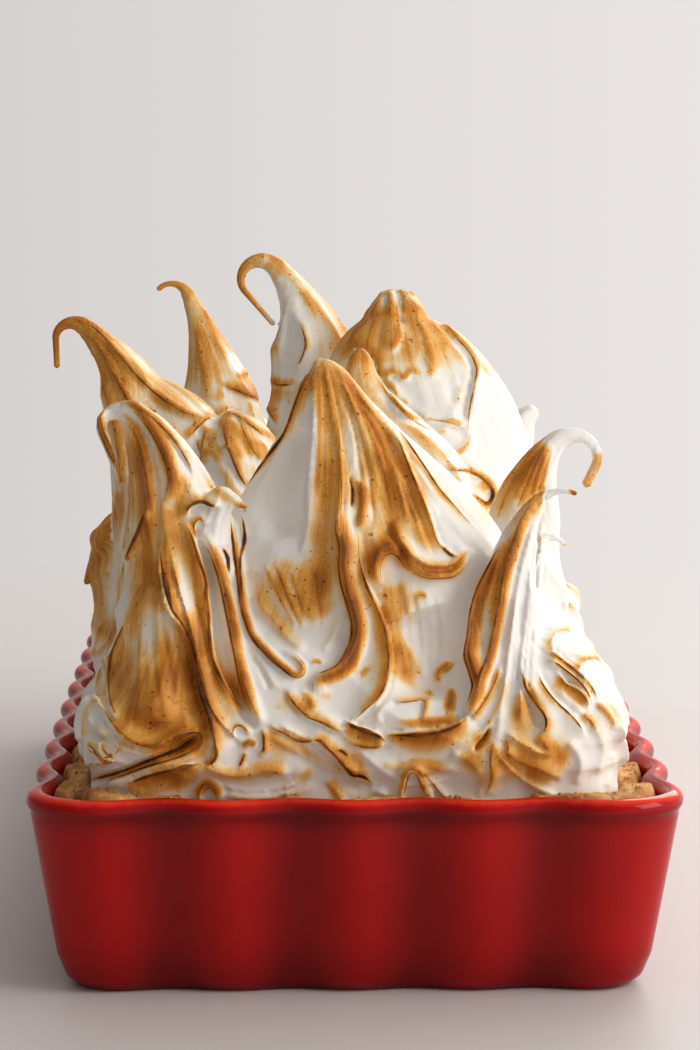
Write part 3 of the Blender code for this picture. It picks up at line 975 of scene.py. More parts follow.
@dataclass(frozen=True)
class Fold:
    """A fold of the meringue, along a route of photograph pixels.

    rise is its height in millimetres. soft and sharp are its widths in pixels to the left and to the right
    of the route's way, tan is how golden it is, dark how dark its edge line is, from 0 to 1, and over is how
    far it leans to its sharp side, in heights. The dark line is partly a burnt edge and partly painted shade
    where the fold overhangs; along a groove it is painted shade in the crease.
    """

    route: Route
    rise: float
    soft: float
    sharp: float
    tan: float
    dark: float
    edge: Edge = Edge.LIP
    over: float | None = None

    STEP = 1.5
    LEAN = 0.45
    LINE = 1.8
    ROLL_EDGE, LIP_EDGE = 0.8, 0.5

    @property
    def lean(self) -> float:
        """How far the fold leans to its sharp side, in heights: without over, only a lip does."""
        if self.over is None:
            return self.LEAN if self.edge is Edge.LIP else 0.0
        return self.over

    @property
    def dark_line_at(self) -> float:
        """Where the dark edge line runs, in pixels right of the route."""
        return self.ROLL_EDGE * self.sharp if self.edge is Edge.ROLL else self.LIP_EDGE

    def line(self) -> Array:
        """The route as closely spaced pixels."""
        return smooth_route(self.route, self.STEP)

    def profile(self, away: Array) -> Array:
        """Height over the crest's height at signed distances from the route in pixels.

        Args:
            away: The distances.

        Returns:
            A share of the fold's rise for each distance.
        """
        left = away < 0
        before = np.clip(1 + away / self.soft, 0, 1)
        after = np.clip(1 - away / self.sharp, 0, 1)
        within = np.where(left, before, after)
        if self.edge is Edge.RIDGE:
            return within ** 1.7
        if self.edge is Edge.ROLL:
            slope = np.clip(1 + away / (1.6 * self.soft), 0, 1) ** 1.3
            return np.where(left, slope, np.sqrt(1 - (1 - after) ** 2))
        if self.edge is Edge.SWELL:
            return within * within * (3 - 2 * within)
        if self.edge is Edge.GROOVE:
            return -within * within * (3 - 2 * within)
        drop = np.clip(1 - away / (0.3 * self.sharp), 0, 1)
        trough = -0.4 * np.sin(math.pi * np.clip(away / self.sharp, 0, 1))
        return np.where(left, np.clip(1 + away / (1.4 * self.soft), 0, 1) ** 1.8, drop + trough)

    def golden(self, away: Array) -> Array:
        """How golden the fold makes places at signed distances from the route in pixels.

        Args:
            away: The distances.

        Returns:
            A level for each distance, 0 where it stays white.
        """
        if self.edge is Edge.ROLL:
            width = np.where(away < 0, 0.66 * self.soft, 0.62 * self.sharp)
            return 1.9 * self.tan * np.exp(-np.abs(away / width) ** 1.2)
        if self.edge is Edge.RIDGE:
            return 0.85 * self.tan * np.exp(-np.abs(away / (0.5 * (self.soft + self.sharp))) ** 1.5)
        drop = np.exp(-(away / (0.3 * self.sharp)) ** 2)
        wide = np.where(away < 0, np.exp(away / (1.1 * self.soft)), drop)
        near = np.where(away < 0, np.exp(away / (0.3 * self.soft)), drop)
        return 0.62 * self.tan * wide + 0.55 * self.dark * near

    def burnt_and_shaded(self, away: Array) -> Array:
        """How dark the fold's edge line is at signed distances from the route in pixels: burnt, and painted
        shade where the fold overhangs and in a groove's crease.
        """
        return self.dark * np.exp(-((away - self.dark_line_at) / self.LINE) ** 2)


@dataclass(frozen=True)
class Stroke:
    """A touch of the torch along a route of photograph pixels. Below 0 its strength keeps a place pale."""

    route: Route
    radius: float
    strength: float

    STEP = 2.5

    def level(self, away: Array, share: Array) -> Array:
        """Gold at distances from the route in pixels, and shares along it."""
        fade = 0.45 + 0.55 * faded(share, 0.25)
        return 0.95 * self.strength * fade * np.exp(-np.abs(away / (1.25 * self.radius)) ** 1.5)


@dataclass(frozen=True)
class Spray:
    """Fine folds laid side by side between guides, which are routes of photograph pixels.

    count is the number of folds between two guides. rise is their height in millimetres, width their size
    in pixels and tan how golden they are, all on average.
    """

    guides: tuple[Route, ...]
    count: int
    rise: float
    width: float
    tan: float

    POINTS = 24
    OVER = 0.2
    LIPS = 0.6

    def folds(self, seed: int) -> tuple[Fold, ...]:
        """The folds, uneven in height, length and gold.

        Args:
            seed: Seed of the draws.

        Returns:
            The folds.
        """
        chance = np.random.default_rng(seed)
        lines = [smooth_route(guide, 1.0) for guide in self.guides]
        even = [line[np.linspace(0, len(line) - 1, self.POINTS).astype(int)] for line in lines]
        made = []
        for near, far in zip(even, even[1:]):
            for k in range(self.count):
                share = (k + 0.5 + 0.25 * chance.uniform(-1, 1)) / self.count
                first = int(chance.uniform(0, 0.2) * self.POINTS)
                last = int(chance.uniform(0.75, 1.0) * self.POINTS)
                line = (near * (1 - share) + far * share)[first:last]
                size = self.width * chance.uniform(0.7, 1.3)
                rise = self.rise * chance.uniform(0.5, 1.4)
                tan, dark = self.tan * chance.uniform(0.1, 1.8), self.tan * chance.uniform(0.0, 0.9)
                edge = Edge.LIP if chance.random() < self.LIPS else Edge.RIDGE
                route = tuple(map(tuple, line))
                made.append(Fold(route, rise, size, size * 0.6, tan, dark, edge, self.OVER))
        return tuple(made)


def sprayed(sprays: tuple[Spray, ...]) -> tuple[Fold, ...]:
    """The folds of many sprays."""
    return tuple(fold for seed, spray in enumerate(sprays) for fold in spray.folds(seed))


LIP, RIDGE, ROLL, SWELL, GROOVE = Edge

RIGHT_CURLS: tuple[Fold, ...] = (
    Fold(((566, 662), (554, 655), (550, 643), (556, 632), (567, 630), (576, 637)), 2.4, 11, 7, 0.42, 0.12),
    Fold(((592, 690), (580, 684), (577, 671), (584, 660), (597, 659), (606, 668)), 2.4, 11, 7, 0.42, 0.15),
    Fold(((561, 603), (571, 609), (579, 620), (584, 634)), 1.8, 10, 7, 0.16, 0.0),
    Fold(((586, 640), (597, 648), (604, 660), (609, 676)), 1.8, 10, 7, 0.20, 0.0),
)

FRONT_FOLDS: tuple[Fold, ...] = RIGHT_CURLS + (
    # The left hook's hanging thread.
    Fold(((99, 410), (102, 427), (109, 446), (117, 462), (121, 471)), 1.3, 5, 4, 0.34, 0.62, ROLL),
    # The left hook's arch, and the slope to its right.
    Fold(((120, 403), (134, 407), (147, 420), (158, 437), (167, 456), (172, 475), (171, 491), (166, 503)),
         1.8, 7, 5, 0.62, 0.50, ROLL),
    Fold(((127, 401), (145, 410), (160, 424), (172, 437), (181, 450), (190, 466), (193, 479)), 1.2, 9, 6,
         0.42, 0.40),
    Fold(((112, 415), (126, 416), (140, 430), (149, 452), (155, 480), (157, 510), (158, 545)), 1.3, 5, 5,
         0.0, 0.0, GROOVE),
    Fold(((112, 411), (124, 413), (135, 430), (143, 452), (148, 480), (149, 512), (148, 545)), 0.9, 6, 4,
         0.42, 0.15, RIDGE),
    Fold(((107, 409), (103, 417), (104, 429), (109, 439), (115, 447), (120, 455), (122, 469)), 1.3, 3, 3,
         0.12, 0.45, ROLL),
    Fold(((110, 420), (112, 432), (119, 445), (125, 460), (127, 490), (125, 530)), 1.2, 5, 5, 0.0, 0.0,
         GROOVE),
    Fold(((146, 509), (138, 532), (129, 551), (127, 559), (137, 554)), 1.8, 9, 5, 0.30, 0.75),
    Fold(((188, 517), (187, 509), (194, 503), (203, 501), (211, 505), (220, 507)), 1.6, 9, 6, 0.45, 0.75),
    Fold(((196, 540), (193, 526), (199, 518), (206, 524)), 1.0, 7, 4, 0.35, 0.55),
    # The left pillars, from the shoulder down to the base.
    Fold(((160, 541), (162, 563), (166, 582), (172, 608), (183, 624), (191, 641), (197, 663), (202, 691),
         (208, 710), (213, 730), (216, 747), (216, 758), (211, 765)), 3.0, 17, 8, 0.62, 1.0),
    Fold(((244, 712), (232, 698), (222, 681), (213, 661), (209, 636), (208, 613), (206, 598), (205, 580),
         (199, 561), (191, 536), (184, 522)), 3.0, 17, 9, 0.55, 0.75),
    Fold(((170, 548), (177, 580), (190, 625), (200, 670), (210, 705), (222, 724), (238, 740), (248, 750)),
         1.0, 8, 5, 0.15, 0.35),
    Fold(((200, 536), (208, 566), (215, 600), (221, 640), (231, 680), (245, 712), (257, 729)), 2.4, 9, 9,
         0.0, 0.0, GROOVE),
    Fold(((205, 533), (216, 556), (224, 580), (231, 613), (238, 649), (245, 683), (253, 705), (263, 726)),
         2.4, 6, 6, 0.72, 0.70, ROLL),
    Fold(((233, 511), (235, 536), (238, 560), (241, 585), (245, 611), (253, 634), (266, 650), (280, 663),
         (294, 674), (301, 673), (302, 666), (295, 658), (283, 653)), 1.8, 4.5, 3.5, 0.60, 0.85, ROLL),
    Fold(((241, 512), (244, 524), (245, 541), (241, 558), (241, 576), (243, 600)), 0.8, 3, 3, 0.2, 0.75,
         RIDGE),
    Fold(((222, 546), (228, 557), (229, 568), (231, 575)), 1.0, 3, 3, 0.55, 0.90, RIDGE),
    # A groove with a faint dark line: painted shade in its crease.
    Fold(((251, 655), (260, 667), (266, 680), (270, 690)), 0.8, 5, 5, 0.0, 0.15, GROOVE),
    # The fan at the left.
    Fold(((150, 585), (148, 640), (150, 690), (152, 725)), 3.4, 46, 44, 0.0, 0.0, SWELL),
    Fold(((131, 613), (121, 632), (112, 653), (109, 673), (110, 697), (116, 714), (122, 722)), 1.7, 15, 7,
         0.30, 0.60),
    Fold(((118, 645), (104, 663), (97, 683), (98, 700), (104, 716)), 1.5, 13, 8, 0.22, 0.30),
    Fold(((103, 706), (112, 722), (128, 737), (148, 744), (170, 741), (188, 734), (203, 727)), 2.6, 24, 9,
         0.35, 0.45),
    Fold(((143, 620), (140, 665), (138, 715)), 0.5, 7, 5, 0.12, 0.0, RIDGE),
    Fold(((157, 610), (160, 665), (166, 722)), 0.5, 6, 5, 0.14, 0.0, RIDGE),
    Fold(((171, 628), (178, 675), (187, 728)), 0.6, 7, 5, 0.16, 0.0, RIDGE),
    # The base at the left: long dark folds over lumps; the first is a groove whose dark line is painted
    # shade in its crease.
    Fold(((200, 734), (188, 743), (177, 750), (149, 761), (122, 772), (97, 779), (84, 784)), 2.4, 6, 6, 0.45,
         1.0, GROOVE),
    Fold(((203, 751), (180, 762), (152, 770), (127, 779), (112, 785), (117, 793)), 2.4, 7, 6, 0.10, 0.70,
         ROLL),
    Fold(((203, 764), (182, 768), (162, 773), (142, 779), (124, 786)), 1.8, 15, 6, 0.62, 0.85),
    Fold(((190, 776), (165, 786), (140, 797)), 1.0, 9, 6, 0.30, 0.10, RIDGE),
    Fold(((104, 712), (96, 700), (86, 708), (82, 727), (84, 745)), 3.4, 13, 6, 0.40, 0.25),
    # A groove tinted tan: painted shade in its crease.
    Fold(((90, 728), (100, 736), (115, 736)), 1.8, 6, 6, 0.20, 0.0, GROOVE),
    Fold(((84, 743), (92, 747), (98, 756), (104, 763)), 2.2, 9, 5, 0.45, 0.50),
    Fold(((102, 741), (104, 750), (112, 758), (119, 757)), 2.2, 9, 5, 0.40, 0.45),
    Fold(((118, 728), (128, 739), (144, 745), (160, 745), (176, 737), (190, 731)), 2.0, 9, 7, 0.55, 0.60),
    Fold(((157, 747), (166, 740), (182, 734), (198, 732), (203, 741), (198, 750)), 1.5, 7, 5, 0.35, 0.45),
    Fold(((142, 789), (134, 800)), 0.9, 5, 4, 0.3, 0.5, RIDGE),
    Fold(((206, 757), (209, 764), (216, 756), (214, 742)), 1.0, 4, 4, 0.5, 1.0, RIDGE),
    Fold(((196, 764), (210, 768), (227, 774), (247, 774), (262, 770), (276, 770), (290, 775)), 1.7, 10, 9,
         0.40, 0.15, RIDGE),
    Fold(((198, 801), (200, 790), (206, 784), (213, 785), (218, 791), (220, 800)), 1.8, 4.5, 4.5, 0.70, 0.55,
         ROLL),
    Fold(((222, 794), (245, 797), (268, 796), (284, 789), (298, 777), (312, 768)), 1.0, 9, 7, 0.22, 0.10,
         RIDGE),
    Fold(((84, 741), (92, 752), (108, 757), (118, 750), (112, 741)), 1.6, 9, 6, 0.18, 0.30),
    Fold(((88, 713), (96, 728), (112, 738), (128, 752)), 1.8, 12, 7, 0.10, 0.25),
    Fold(((80, 762), (100, 764), (122, 760)), 1.4, 9, 7, 0.15, 0.30),
    # The little knot between the pillars and the centre.
    Fold(((236, 741), (232, 732), (236, 725), (244, 727), (250, 736)), 1.1, 5, 4, 0.35, 0.45),
    Fold(((262, 729), (264, 738), (264, 750), (258, 754)), 1.2, 6, 4, 0.40, 0.65),
    Fold(((243, 748), (249, 742), (256, 746)), 0.8, 4, 3, 0.55, 0.40, ROLL),
    Fold(((246, 751), (243, 760), (239, 769)), 0.8, 5, 4, 0.35, 0.55, RIDGE),
    Fold(((268, 726), (285, 733), (300, 741), (320, 740)), 1.1, 7, 6, 0.35, 0.40),
    # The centre: its silhouette, the hollow left panel and the long lines down from the tip.
    Fold(((310, 364), (303, 383), (295, 405), (286, 430), (274, 449), (261, 466), (249, 483), (241, 493)),
         0.8, 10, 4, 0.45, 0.90, LIP, 0.2),
    Fold(((296, 425), (280, 470), (274, 505), (283, 540)), 3.0, 27, 25, 0.0, 0.0, GROOVE),
    Fold(((314, 376), (314, 420), (311, 460), (309, 500), (308, 530), (300, 553)), 1.5, 14, 7, 0.30, 0.08),
    Fold(((337, 558), (339, 530), (341, 500), (341, 470), (338, 432), (333, 400), (325, 368)), 1.0, 12, 5,
         0.20, 0.30),
    Fold(((384, 474), (381, 460), (375, 443), (366, 424), (352, 400), (338, 378)), 1.1, 11, 5, 0.25, 0.10),
    Fold(((356, 470), (353, 440), (346, 415), (338, 395)), 0.7, 7, 4, 0.20, 0.12),
    Fold(((368, 400), (382, 425), (393, 450), (402, 478), (410, 505), (416, 530)), 1.0, 6, 7, 0.0, 0.0,
         GROOVE),
    Fold(((478, 531), (468, 522), (455, 507), (440, 490), (425, 468), (408, 443), (395, 425)), 1.2, 13, 6,
         0.14, 0.50),
    Fold(((455, 557), (446, 551), (437, 542), (431, 524), (424, 504), (414, 480), (404, 455), (394, 430)),
         1.7, 15, 7, 0.32, 0.45),
    Fold(((442, 546), (448, 552), (455, 557)), 0.9, 5, 4, 0.2, 1.0),
    Fold(((430, 556), (421, 535), (413, 512), (404, 487), (396, 465)), 1.0, 9, 5, 0.35, 0.20),
    # A groove with a dark line: painted shade in its crease.
    Fold(((349, 475), (352, 485), (353, 496), (352, 509)), 1.2, 3, 3, 0.1, 1.0, GROOVE),
    Fold(((361, 480), (363, 498), (361, 518), (357, 528)), 1.0, 4, 4, 0.80, 0.30, ROLL),
    Fold(((371, 500), (373, 515), (370, 528)), 0.6, 4, 3, 0.0, 0.0, GROOVE),
    # The brown ribbon and the long line beside it.
    Fold(((342, 505), (342, 528), (346, 548), (345, 566), (348, 586), (353, 603), (358, 622), (357, 641),
         (350, 658), (340, 671), (328, 677), (320, 681), (319, 695)), 3.4, 8, 8, 0.86, 0.75, ROLL),
    Fold(((350, 724), (364, 710), (378, 697), (385, 683), (388, 665), (388, 650), (384, 627), (376, 607),
         (366, 585), (359, 560), (358, 532)), 2.2, 17, 8, 0.38, 0.60),
    Fold(((312, 664), (317, 661), (323, 663)), 0.8, 4, 3, 0.4, 0.5, RIDGE),
    Fold(((323, 652), (331, 641), (338, 628), (343, 612)), 1.0, 8, 6, 0.20, 0.05, RIDGE),
    Fold(((258, 590), (262, 605), (275, 622), (292, 642), (306, 650)), 1.2, 12, 8, 0.15, 0.0, RIDGE),
    Fold(((285, 690), (296, 705), (309, 717), (322, 722), (338, 730), (348, 729)), 1.4, 11, 6, 0.35, 0.45),
    Fold(((300, 690), (311, 700), (314, 712)), 0.8, 7, 4, 0.30, 0.15, RIDGE),
    # The pocket right of the centre, under its thick lip.
    Fold(((415, 612), (428, 650), (425, 700)), 4.5, 46, 44, 0.0, 0.0, GROOVE),
    Fold(((375, 586), (374, 566), (379, 553), (389, 547), (401, 551), (411, 563), (425, 571), (440, 572),
         (452, 570), (461, 560), (468, 547)), 3.6, 9, 8, 0.80, 0.55, ROLL),
    Fold(((392, 520), (405, 545), (425, 562), (450, 562), (466, 546)), 2.4, 40, 12, 0.10, 0.0),
    Fold(((381, 598), (386, 594), (388, 600)), 0.6, 3, 3, 0.2, 0.8, RIDGE),
    Fold(((416, 599), (421, 594), (428, 597)), 0.6, 4, 3, 0.4, 0.5, RIDGE),
    Fold(((381, 605), (386, 618), (388, 626)), 0.9, 5, 5, 0.0, 0.0, GROOVE),
    Fold(((406, 640), (412, 655), (421, 668), (424, 680)), 1.0, 9, 8, 0.10, 0.0, RIDGE),
    Fold(((392, 699), (397, 702), (410, 701), (425, 700), (424, 712), (421, 722)), 0.9, 7, 5, 0.35, 0.30),
    Fold(((380, 724), (378, 714), (385, 706), (394, 702)), 0.9, 6, 5, 0.05, 0.0, RIDGE),
    Fold(((443, 685), (437, 676), (441, 668), (452, 660)), 0.9, 6, 4, 0.40, 0.35, RIDGE),
    Fold(((452, 686), (451, 700), (447, 712)), 0.8, 6, 5, 0.40, 0.25, RIDGE),
    # The ledge at the foot of the pocket; the dark line along it is painted shade in the crease where it
    # meets the pocket.
    Fold(((470, 717), (457, 726), (442, 732), (422, 735), (402, 736), (384, 736)), 3.0, 14, 9, 0.62, 1.0),
    Fold(((386, 744), (379, 737), (365, 731), (354, 727), (344, 721)), 2.6, 12, 7, 0.80, 1.0),
    Fold(((350, 742), (362, 746), (377, 747), (385, 742)), 1.2, 8, 6, 0.55, 0.50),
    Fold(((308, 741), (320, 740), (328, 748), (337, 757), (346, 767), (353, 775), (363, 776), (375, 785)),
         2.2, 13, 9, 0.35, 0.95),
    Fold(((336, 750), (343, 751), (349, 757)), 0.8, 4, 3, 0.3, 0.9),
    Fold(((340, 760), (352, 773), (368, 787), (392, 796)), 1.4, 10, 12, 0.12, 0.0, RIDGE),
    Fold(((326, 778), (336, 791), (344, 804)), 1.0, 8, 6, 0.28, 0.15, RIDGE),
    Fold(((398, 803), (402, 786), (405, 775), (411, 769), (418, 771), (424, 783), (431, 801)), 2.2, 5, 4.5,
         0.55, 0.45, ROLL),
    Fold(((411, 768), (421, 770), (431, 781), (441, 793), (450, 800)), 1.4, 8, 6, 0.40, 0.35),
    Fold(((380, 764), (400, 767), (420, 765), (442, 768), (462, 772)), 1.0, 9, 8, 0.35, 0.05, RIDGE),
    Fold(((300, 752), (330, 770), (380, 790)), 1.2, 14, 14, 0.0, 0.0, GROOVE),
    # The right cone.
    Fold(((508, 540), (500, 556), (490, 575), (482, 591), (476, 611), (473, 636), (470, 655), (475, 672),
         (478, 686), (474, 701), (468, 719)), 3.0, 8, 7, 0.84, 0.70, ROLL),
    Fold(((536, 505), (524, 522), (514, 548), (508, 570), (503, 600), (497, 630), (491, 655), (484, 676),
         (476, 697), (469, 718)), 1.9, 5, 5, 0.62, 0.45, ROLL),
    Fold(((541, 503), (528, 540), (517, 590), (510, 640), (505, 682), (500, 715), (496, 746)), 1.0, 7, 6,
         0.06, 0.0, RIDGE),
    Fold(((546, 503), (535, 550), (528, 605), (522, 650), (520, 700), (523, 730)), 0.9, 7, 6, 0.0, 0.0,
         RIDGE),
    Fold(((501, 664), (496, 681), (488, 697), (478, 712), (470, 723)), 1.2, 6, 5, 0.60, 0.40, RIDGE),
    Fold(((507, 672), (503, 692), (497, 709), (490, 722), (483, 732)), 0.9, 6, 5, 0.30, 0.10, RIDGE),
    Fold(((522, 670), (527, 689), (536, 703), (545, 715), (547, 724), (544, 733), (538, 734)), 1.9, 13, 7,
         0.22, 0.70),
    Fold(((527, 690), (534, 712), (540, 728)), 1.6, 8, 7, 0.10, 0.0, GROOVE),
    Fold(((536, 736), (545, 744), (553, 757)), 1.2, 7, 6, 0.55, 0.35, RIDGE),
    # A groove with a dark line: painted shade in its crease.
    Fold(((491, 727), (485, 737), (478, 745), (475, 753)), 1.2, 4, 4, 0.5, 1.0, GROOVE),
    Fold(((494, 742), (491, 760), (492, 776), (487, 795)), 1.6, 11, 6, 0.45, 0.45),
    Fold(((506, 738), (509, 750), (508, 760)), 0.9, 5, 4, 0.5, 0.6, RIDGE),
    Fold(((520, 690), (521, 705), (517, 722)), 0.7, 6, 5, 0.25, 0.1, RIDGE),
    # The base at the right: nested curls, a lobe and the pale leaf over the brown hollow.
    Fold(((598, 704), (594, 692), (586, 681), (574, 670), (560, 659), (546, 650)), 2.0, 10, 6, 0.30, 0.40),
    Fold(((592, 708), (589, 696), (581, 684), (570, 674), (557, 664), (548, 658)), 1.3, 6, 4, 0.30, 0.42),
    Fold(((589, 709), (585, 698), (576, 690), (565, 684), (556, 672)), 1.7, 9, 6, 0.90, 0.30),
    Fold(((582, 712), (574, 703), (566, 698), (560, 690)), 1.0, 8, 5, 0.15, 0.0),
    Fold(((585, 737), (580, 727), (571, 716), (560, 706), (549, 694), (540, 680), (538, 668)), 1.4, 13, 7,
         0.22, 0.42),
    Fold(((622, 742), (623, 728), (619, 716), (610, 706), (600, 700)), 2.0, 14, 8, 0.22, 0.15),
    Fold(((616, 730), (611, 718), (602, 708), (593, 702)), 0.9, 5, 4, 0.42, 0.25, RIDGE),
    Fold(((580, 713), (586, 717), (592, 722), (595, 731)), 0.8, 5, 4, 0.35, 0.28, RIDGE),
    Fold(((592, 724), (601, 740), (603, 756), (597, 774)), 1.1, 11, 8, 0.14, 0.0, RIDGE),
    Fold(((566, 742), (577, 752), (581, 766), (575, 784)), 1.0, 10, 9, 0.08, 0.0, RIDGE),
    Fold(((612, 752), (613, 768), (606, 788)), 1.0, 9, 8, 0.08, 0.0, RIDGE),
    Fold(((506, 734), (520, 742), (535, 750), (552, 756)), 1.9, 6, 5, 0.0, 0.0, RIDGE),
    Fold(((504, 748), (520, 760), (540, 768), (562, 778)), 1.6, 14, 9, 0.34, 0.10),
    Fold(((497, 752), (512, 770), (532, 785), (556, 796)), 1.6, 6, 5, 0.0, 0.0, RIDGE),
    Fold(((450, 752), (470, 762), (482, 778), (480, 797)), 1.3, 12, 9, 0.25, 0.0, RIDGE),
)

FRONT_STROKES: tuple[Stroke, ...] = (
    # The centre's tip and its brown bands.
    Stroke(((322, 358), (325, 385), (327, 420)), 14, 0.48),
    Stroke(((329, 420), (329, 470), (325, 520)), 11, 0.46),
    Stroke(((323, 520), (322, 560), (322, 600)), 14, 0.42),
    Stroke(((342, 368), (364, 410), (381, 448), (389, 485)), 9, 0.42),
    Stroke(((389, 485), (392, 515), (390, 545)), 13, 0.46),
    Stroke(((350, 540), (352, 560)), 8, 0.20),
    Stroke(((305, 370), (302, 392)), 6, 0.40),
    Stroke(((266, 562), (290, 569), (318, 578)), 14, 0.36),
    Stroke(((296, 590), (318, 608)), 16, 0.30),
    Stroke(((254, 582), (272, 611), (298, 642)), 8, 0.42),
    Stroke(((270, 575), (280, 590), (291, 604)), 5, 0.30),
    Stroke(((356, 470), (360, 500), (365, 540), (372, 590)), 7, 0.25),
    Stroke(((405, 470), (415, 500), (425, 530), (430, 552)), 6, 0.25),
    Stroke(((430, 470), (450, 505)), 5, 0.12),
    # The pocket.
    Stroke(((385, 588), (398, 602), (410, 612)), 13, 0.32),
    Stroke(((410, 590), (422, 606)), 12, 0.22),
    Stroke(((384, 600), (383, 625), (388, 645)), 6, 0.30),
    Stroke(((392, 640), (400, 660), (405, 680)), 10, 0.48),
    Stroke(((402, 722), (425, 722), (455, 720)), 3.5, 0.52),
    Stroke(((460, 655), (450, 668), (440, 672)), 4, 0.35),
    Stroke(((452, 690), (451, 700), (449, 714)), 4, 0.38),
    Stroke(((460, 590), (462, 615)), 5, 0.20),
    Stroke(((388, 738), (420, 740), (448, 737)), 6, 0.30),
    Stroke(((355, 735), (372, 741)), 6, 0.55),
    Stroke(((300, 700), (308, 710)), 6, 0.30),
    # Small touches between the folds of the lower centre.
    Stroke(((284, 692), (293, 704), (303, 714)), 6, 0.32),
    Stroke(((308, 700), (311, 711)), 5, 0.32),
    Stroke(((276, 703), (281, 711)), 4, 0.28),
    Stroke(((322, 697), (332, 695)), 5, 0.20),
    Stroke(((266, 730), (277, 743), (298, 748)), 10, 0.24),
    Stroke(((398, 648), (408, 666), (414, 682)), 9, 0.24),
    Stroke(((403, 669), (406, 680)), 4, 0.45),
    Stroke(((361, 676), (369, 667)), 3, 0.38),
    Stroke(((427, 693), (432, 694)), 3, 0.40),
    Stroke(((383, 765), (388, 766)), 3, 0.32),
    Stroke(((400, 768), (425, 766), (442, 773)), 6, 0.26),
    Stroke(((252, 776), (268, 770), (286, 772)), 7, 0.32),
    Stroke(((300, 784), (312, 768)), 6, 0.22),
    Stroke(((350, 754), (362, 770)), 6, 0.30),
    Stroke(((512, 704), (522, 720), (532, 735)), 11, 0.26),
    Stroke(((560, 728), (567, 745), (560, 770)), 8, 0.20),
    Stroke(((578, 716), (596, 722), (606, 740)), 8, 0.18),
    # The left hook.
    Stroke(((98, 418), (104, 402), (122, 397), (140, 404)), 3.5, 0.45),
    Stroke(((119, 430), (124, 460), (127, 500), (122, 545)), 6, 0.34),
    Stroke(((133, 440), (140, 465), (144, 495)), 4.5, 0.34),
    Stroke(((160, 440), (168, 470), (168, 495)), 7, 0.30),
    Stroke(((176, 470), (184, 488)), 6, 0.22),
    # The left fan and pillars: toasted brown, deepened on the fan as painted shade on the shaded left.
    Stroke(((146, 545), (146, 580), (143, 612)), 17, 0.40),
    Stroke(((130, 660), (132, 680), (132, 705)), 15, 0.46),
    Stroke(((162, 660), (170, 690), (178, 720)), 18, 0.52),
    Stroke(((122, 700), (148, 722), (178, 724), (198, 722)), 16, 0.40),
    Stroke(((120, 650), (114, 675), (118, 705)), 5, 0.30),
    Stroke(((185, 660), (195, 700), (203, 725)), 7, 0.34),
    Stroke(((178, 505), (172, 520), (176, 545)), 9, 0.45),
    Stroke(((187, 545), (197, 580), (200, 620), (203, 655)), 6, 0.42),
    Stroke(((166, 545), (172, 590), (184, 630), (196, 680), (208, 725)), 5, 0.48),
    Stroke(((213, 655), (224, 680), (240, 705)), 8, 0.40),
    Stroke(((140, 430), (142, 480), (140, 520)), 6, 0.28),
    Stroke(((150, 470), (147, 530), (146, 570)), 6, 0.30),
    Stroke(((186, 480), (180, 500)), 6, 0.25),
    Stroke(((205, 478), (222, 496), (238, 505)), 5, 0.35),
    Stroke(((130, 740), (160, 750), (195, 742)), 5, 0.38),
    Stroke(((128, 792), (160, 780), (198, 772)), 9, 0.50),
    Stroke(((190, 745), (200, 752)), 6, 0.45),
    Stroke(((270, 730), (275, 742)), 6, 0.25),
    # The right arch's golden face.
    Stroke(((494, 512), (512, 482), (534, 455), (548, 440)), 12, 0.50),
    Stroke(((520, 520), (538, 485), (546, 455)), 8, 0.45),
    Stroke(((600, 455), (602, 474), (592, 490)), 4, 0.35),
    Stroke(((556, 470), (556, 520), (552, 560)), 5, -0.5),
    # The right cone and base.
    Stroke(((520, 525), (507, 555), (496, 590), (491, 620)), 6, 0.50),
    Stroke(((545, 500), (530, 515)), 5, 0.30),
    Stroke(((508, 742), (526, 752), (546, 760)), 11, 0.24),
    Stroke(((512, 766), (535, 776), (552, 782)), 10, 0.22),
    Stroke(((499, 758), (508, 772)), 7, 0.30),
    Stroke(((478, 735), (485, 748)), 6, 0.45),
    Stroke(((465, 755), (480, 772)), 8, 0.25),
    Stroke(((520, 700), (522, 735)), 7, 0.18),
    Stroke(((400, 795), (430, 800)), 8, 0.25),
    Stroke(((325, 785), (360, 795)), 12, 0.14),
    Stroke(((520, 754), (538, 763)), 6, 0.20),
    Stroke(((548, 742), (557, 752), (562, 766)), 7, 0.34),
    Stroke(((530, 772), (552, 780)), 7, 0.30),
    Stroke(((541, 492), (555, 487), (566, 488), (578, 495)), 2.5, 0.50),
    Stroke(((573, 492), (579, 496)), 2.0, 1.50),
    Stroke(((537, 543), (548, 534), (558, 536), (566, 546)), 2.5, 0.60),
    Stroke(((565, 541), (566, 548)), 1.6, 0.80),
    Stroke(((238, 505), (248, 509)), 3.0, 1.00),
    Stroke(((104, 760), (106, 762)), 3.0, 1.00),
    Stroke(((118, 458), (123, 470)), 2.0, 0.80),
    # Pale panels.
    Stroke(((548, 442), (565, 430), (584, 433), (597, 446)), 5, -1.0),
    Stroke(((560, 450), (556, 500), (558, 560), (560, 600)), 8, -1.0),
    Stroke(((545, 560), (545, 620)), 10, -0.8),
    Stroke(((268, 480), (278, 510), (285, 540)), 22, -0.6),
    Stroke(((312, 395), (311, 440), (306, 480)), 4, -0.5),
    Stroke(((440, 600), (440, 650)), 16, -0.3),
    Stroke(((470, 600), (462, 650), (465, 700)), 7, -0.3),
)

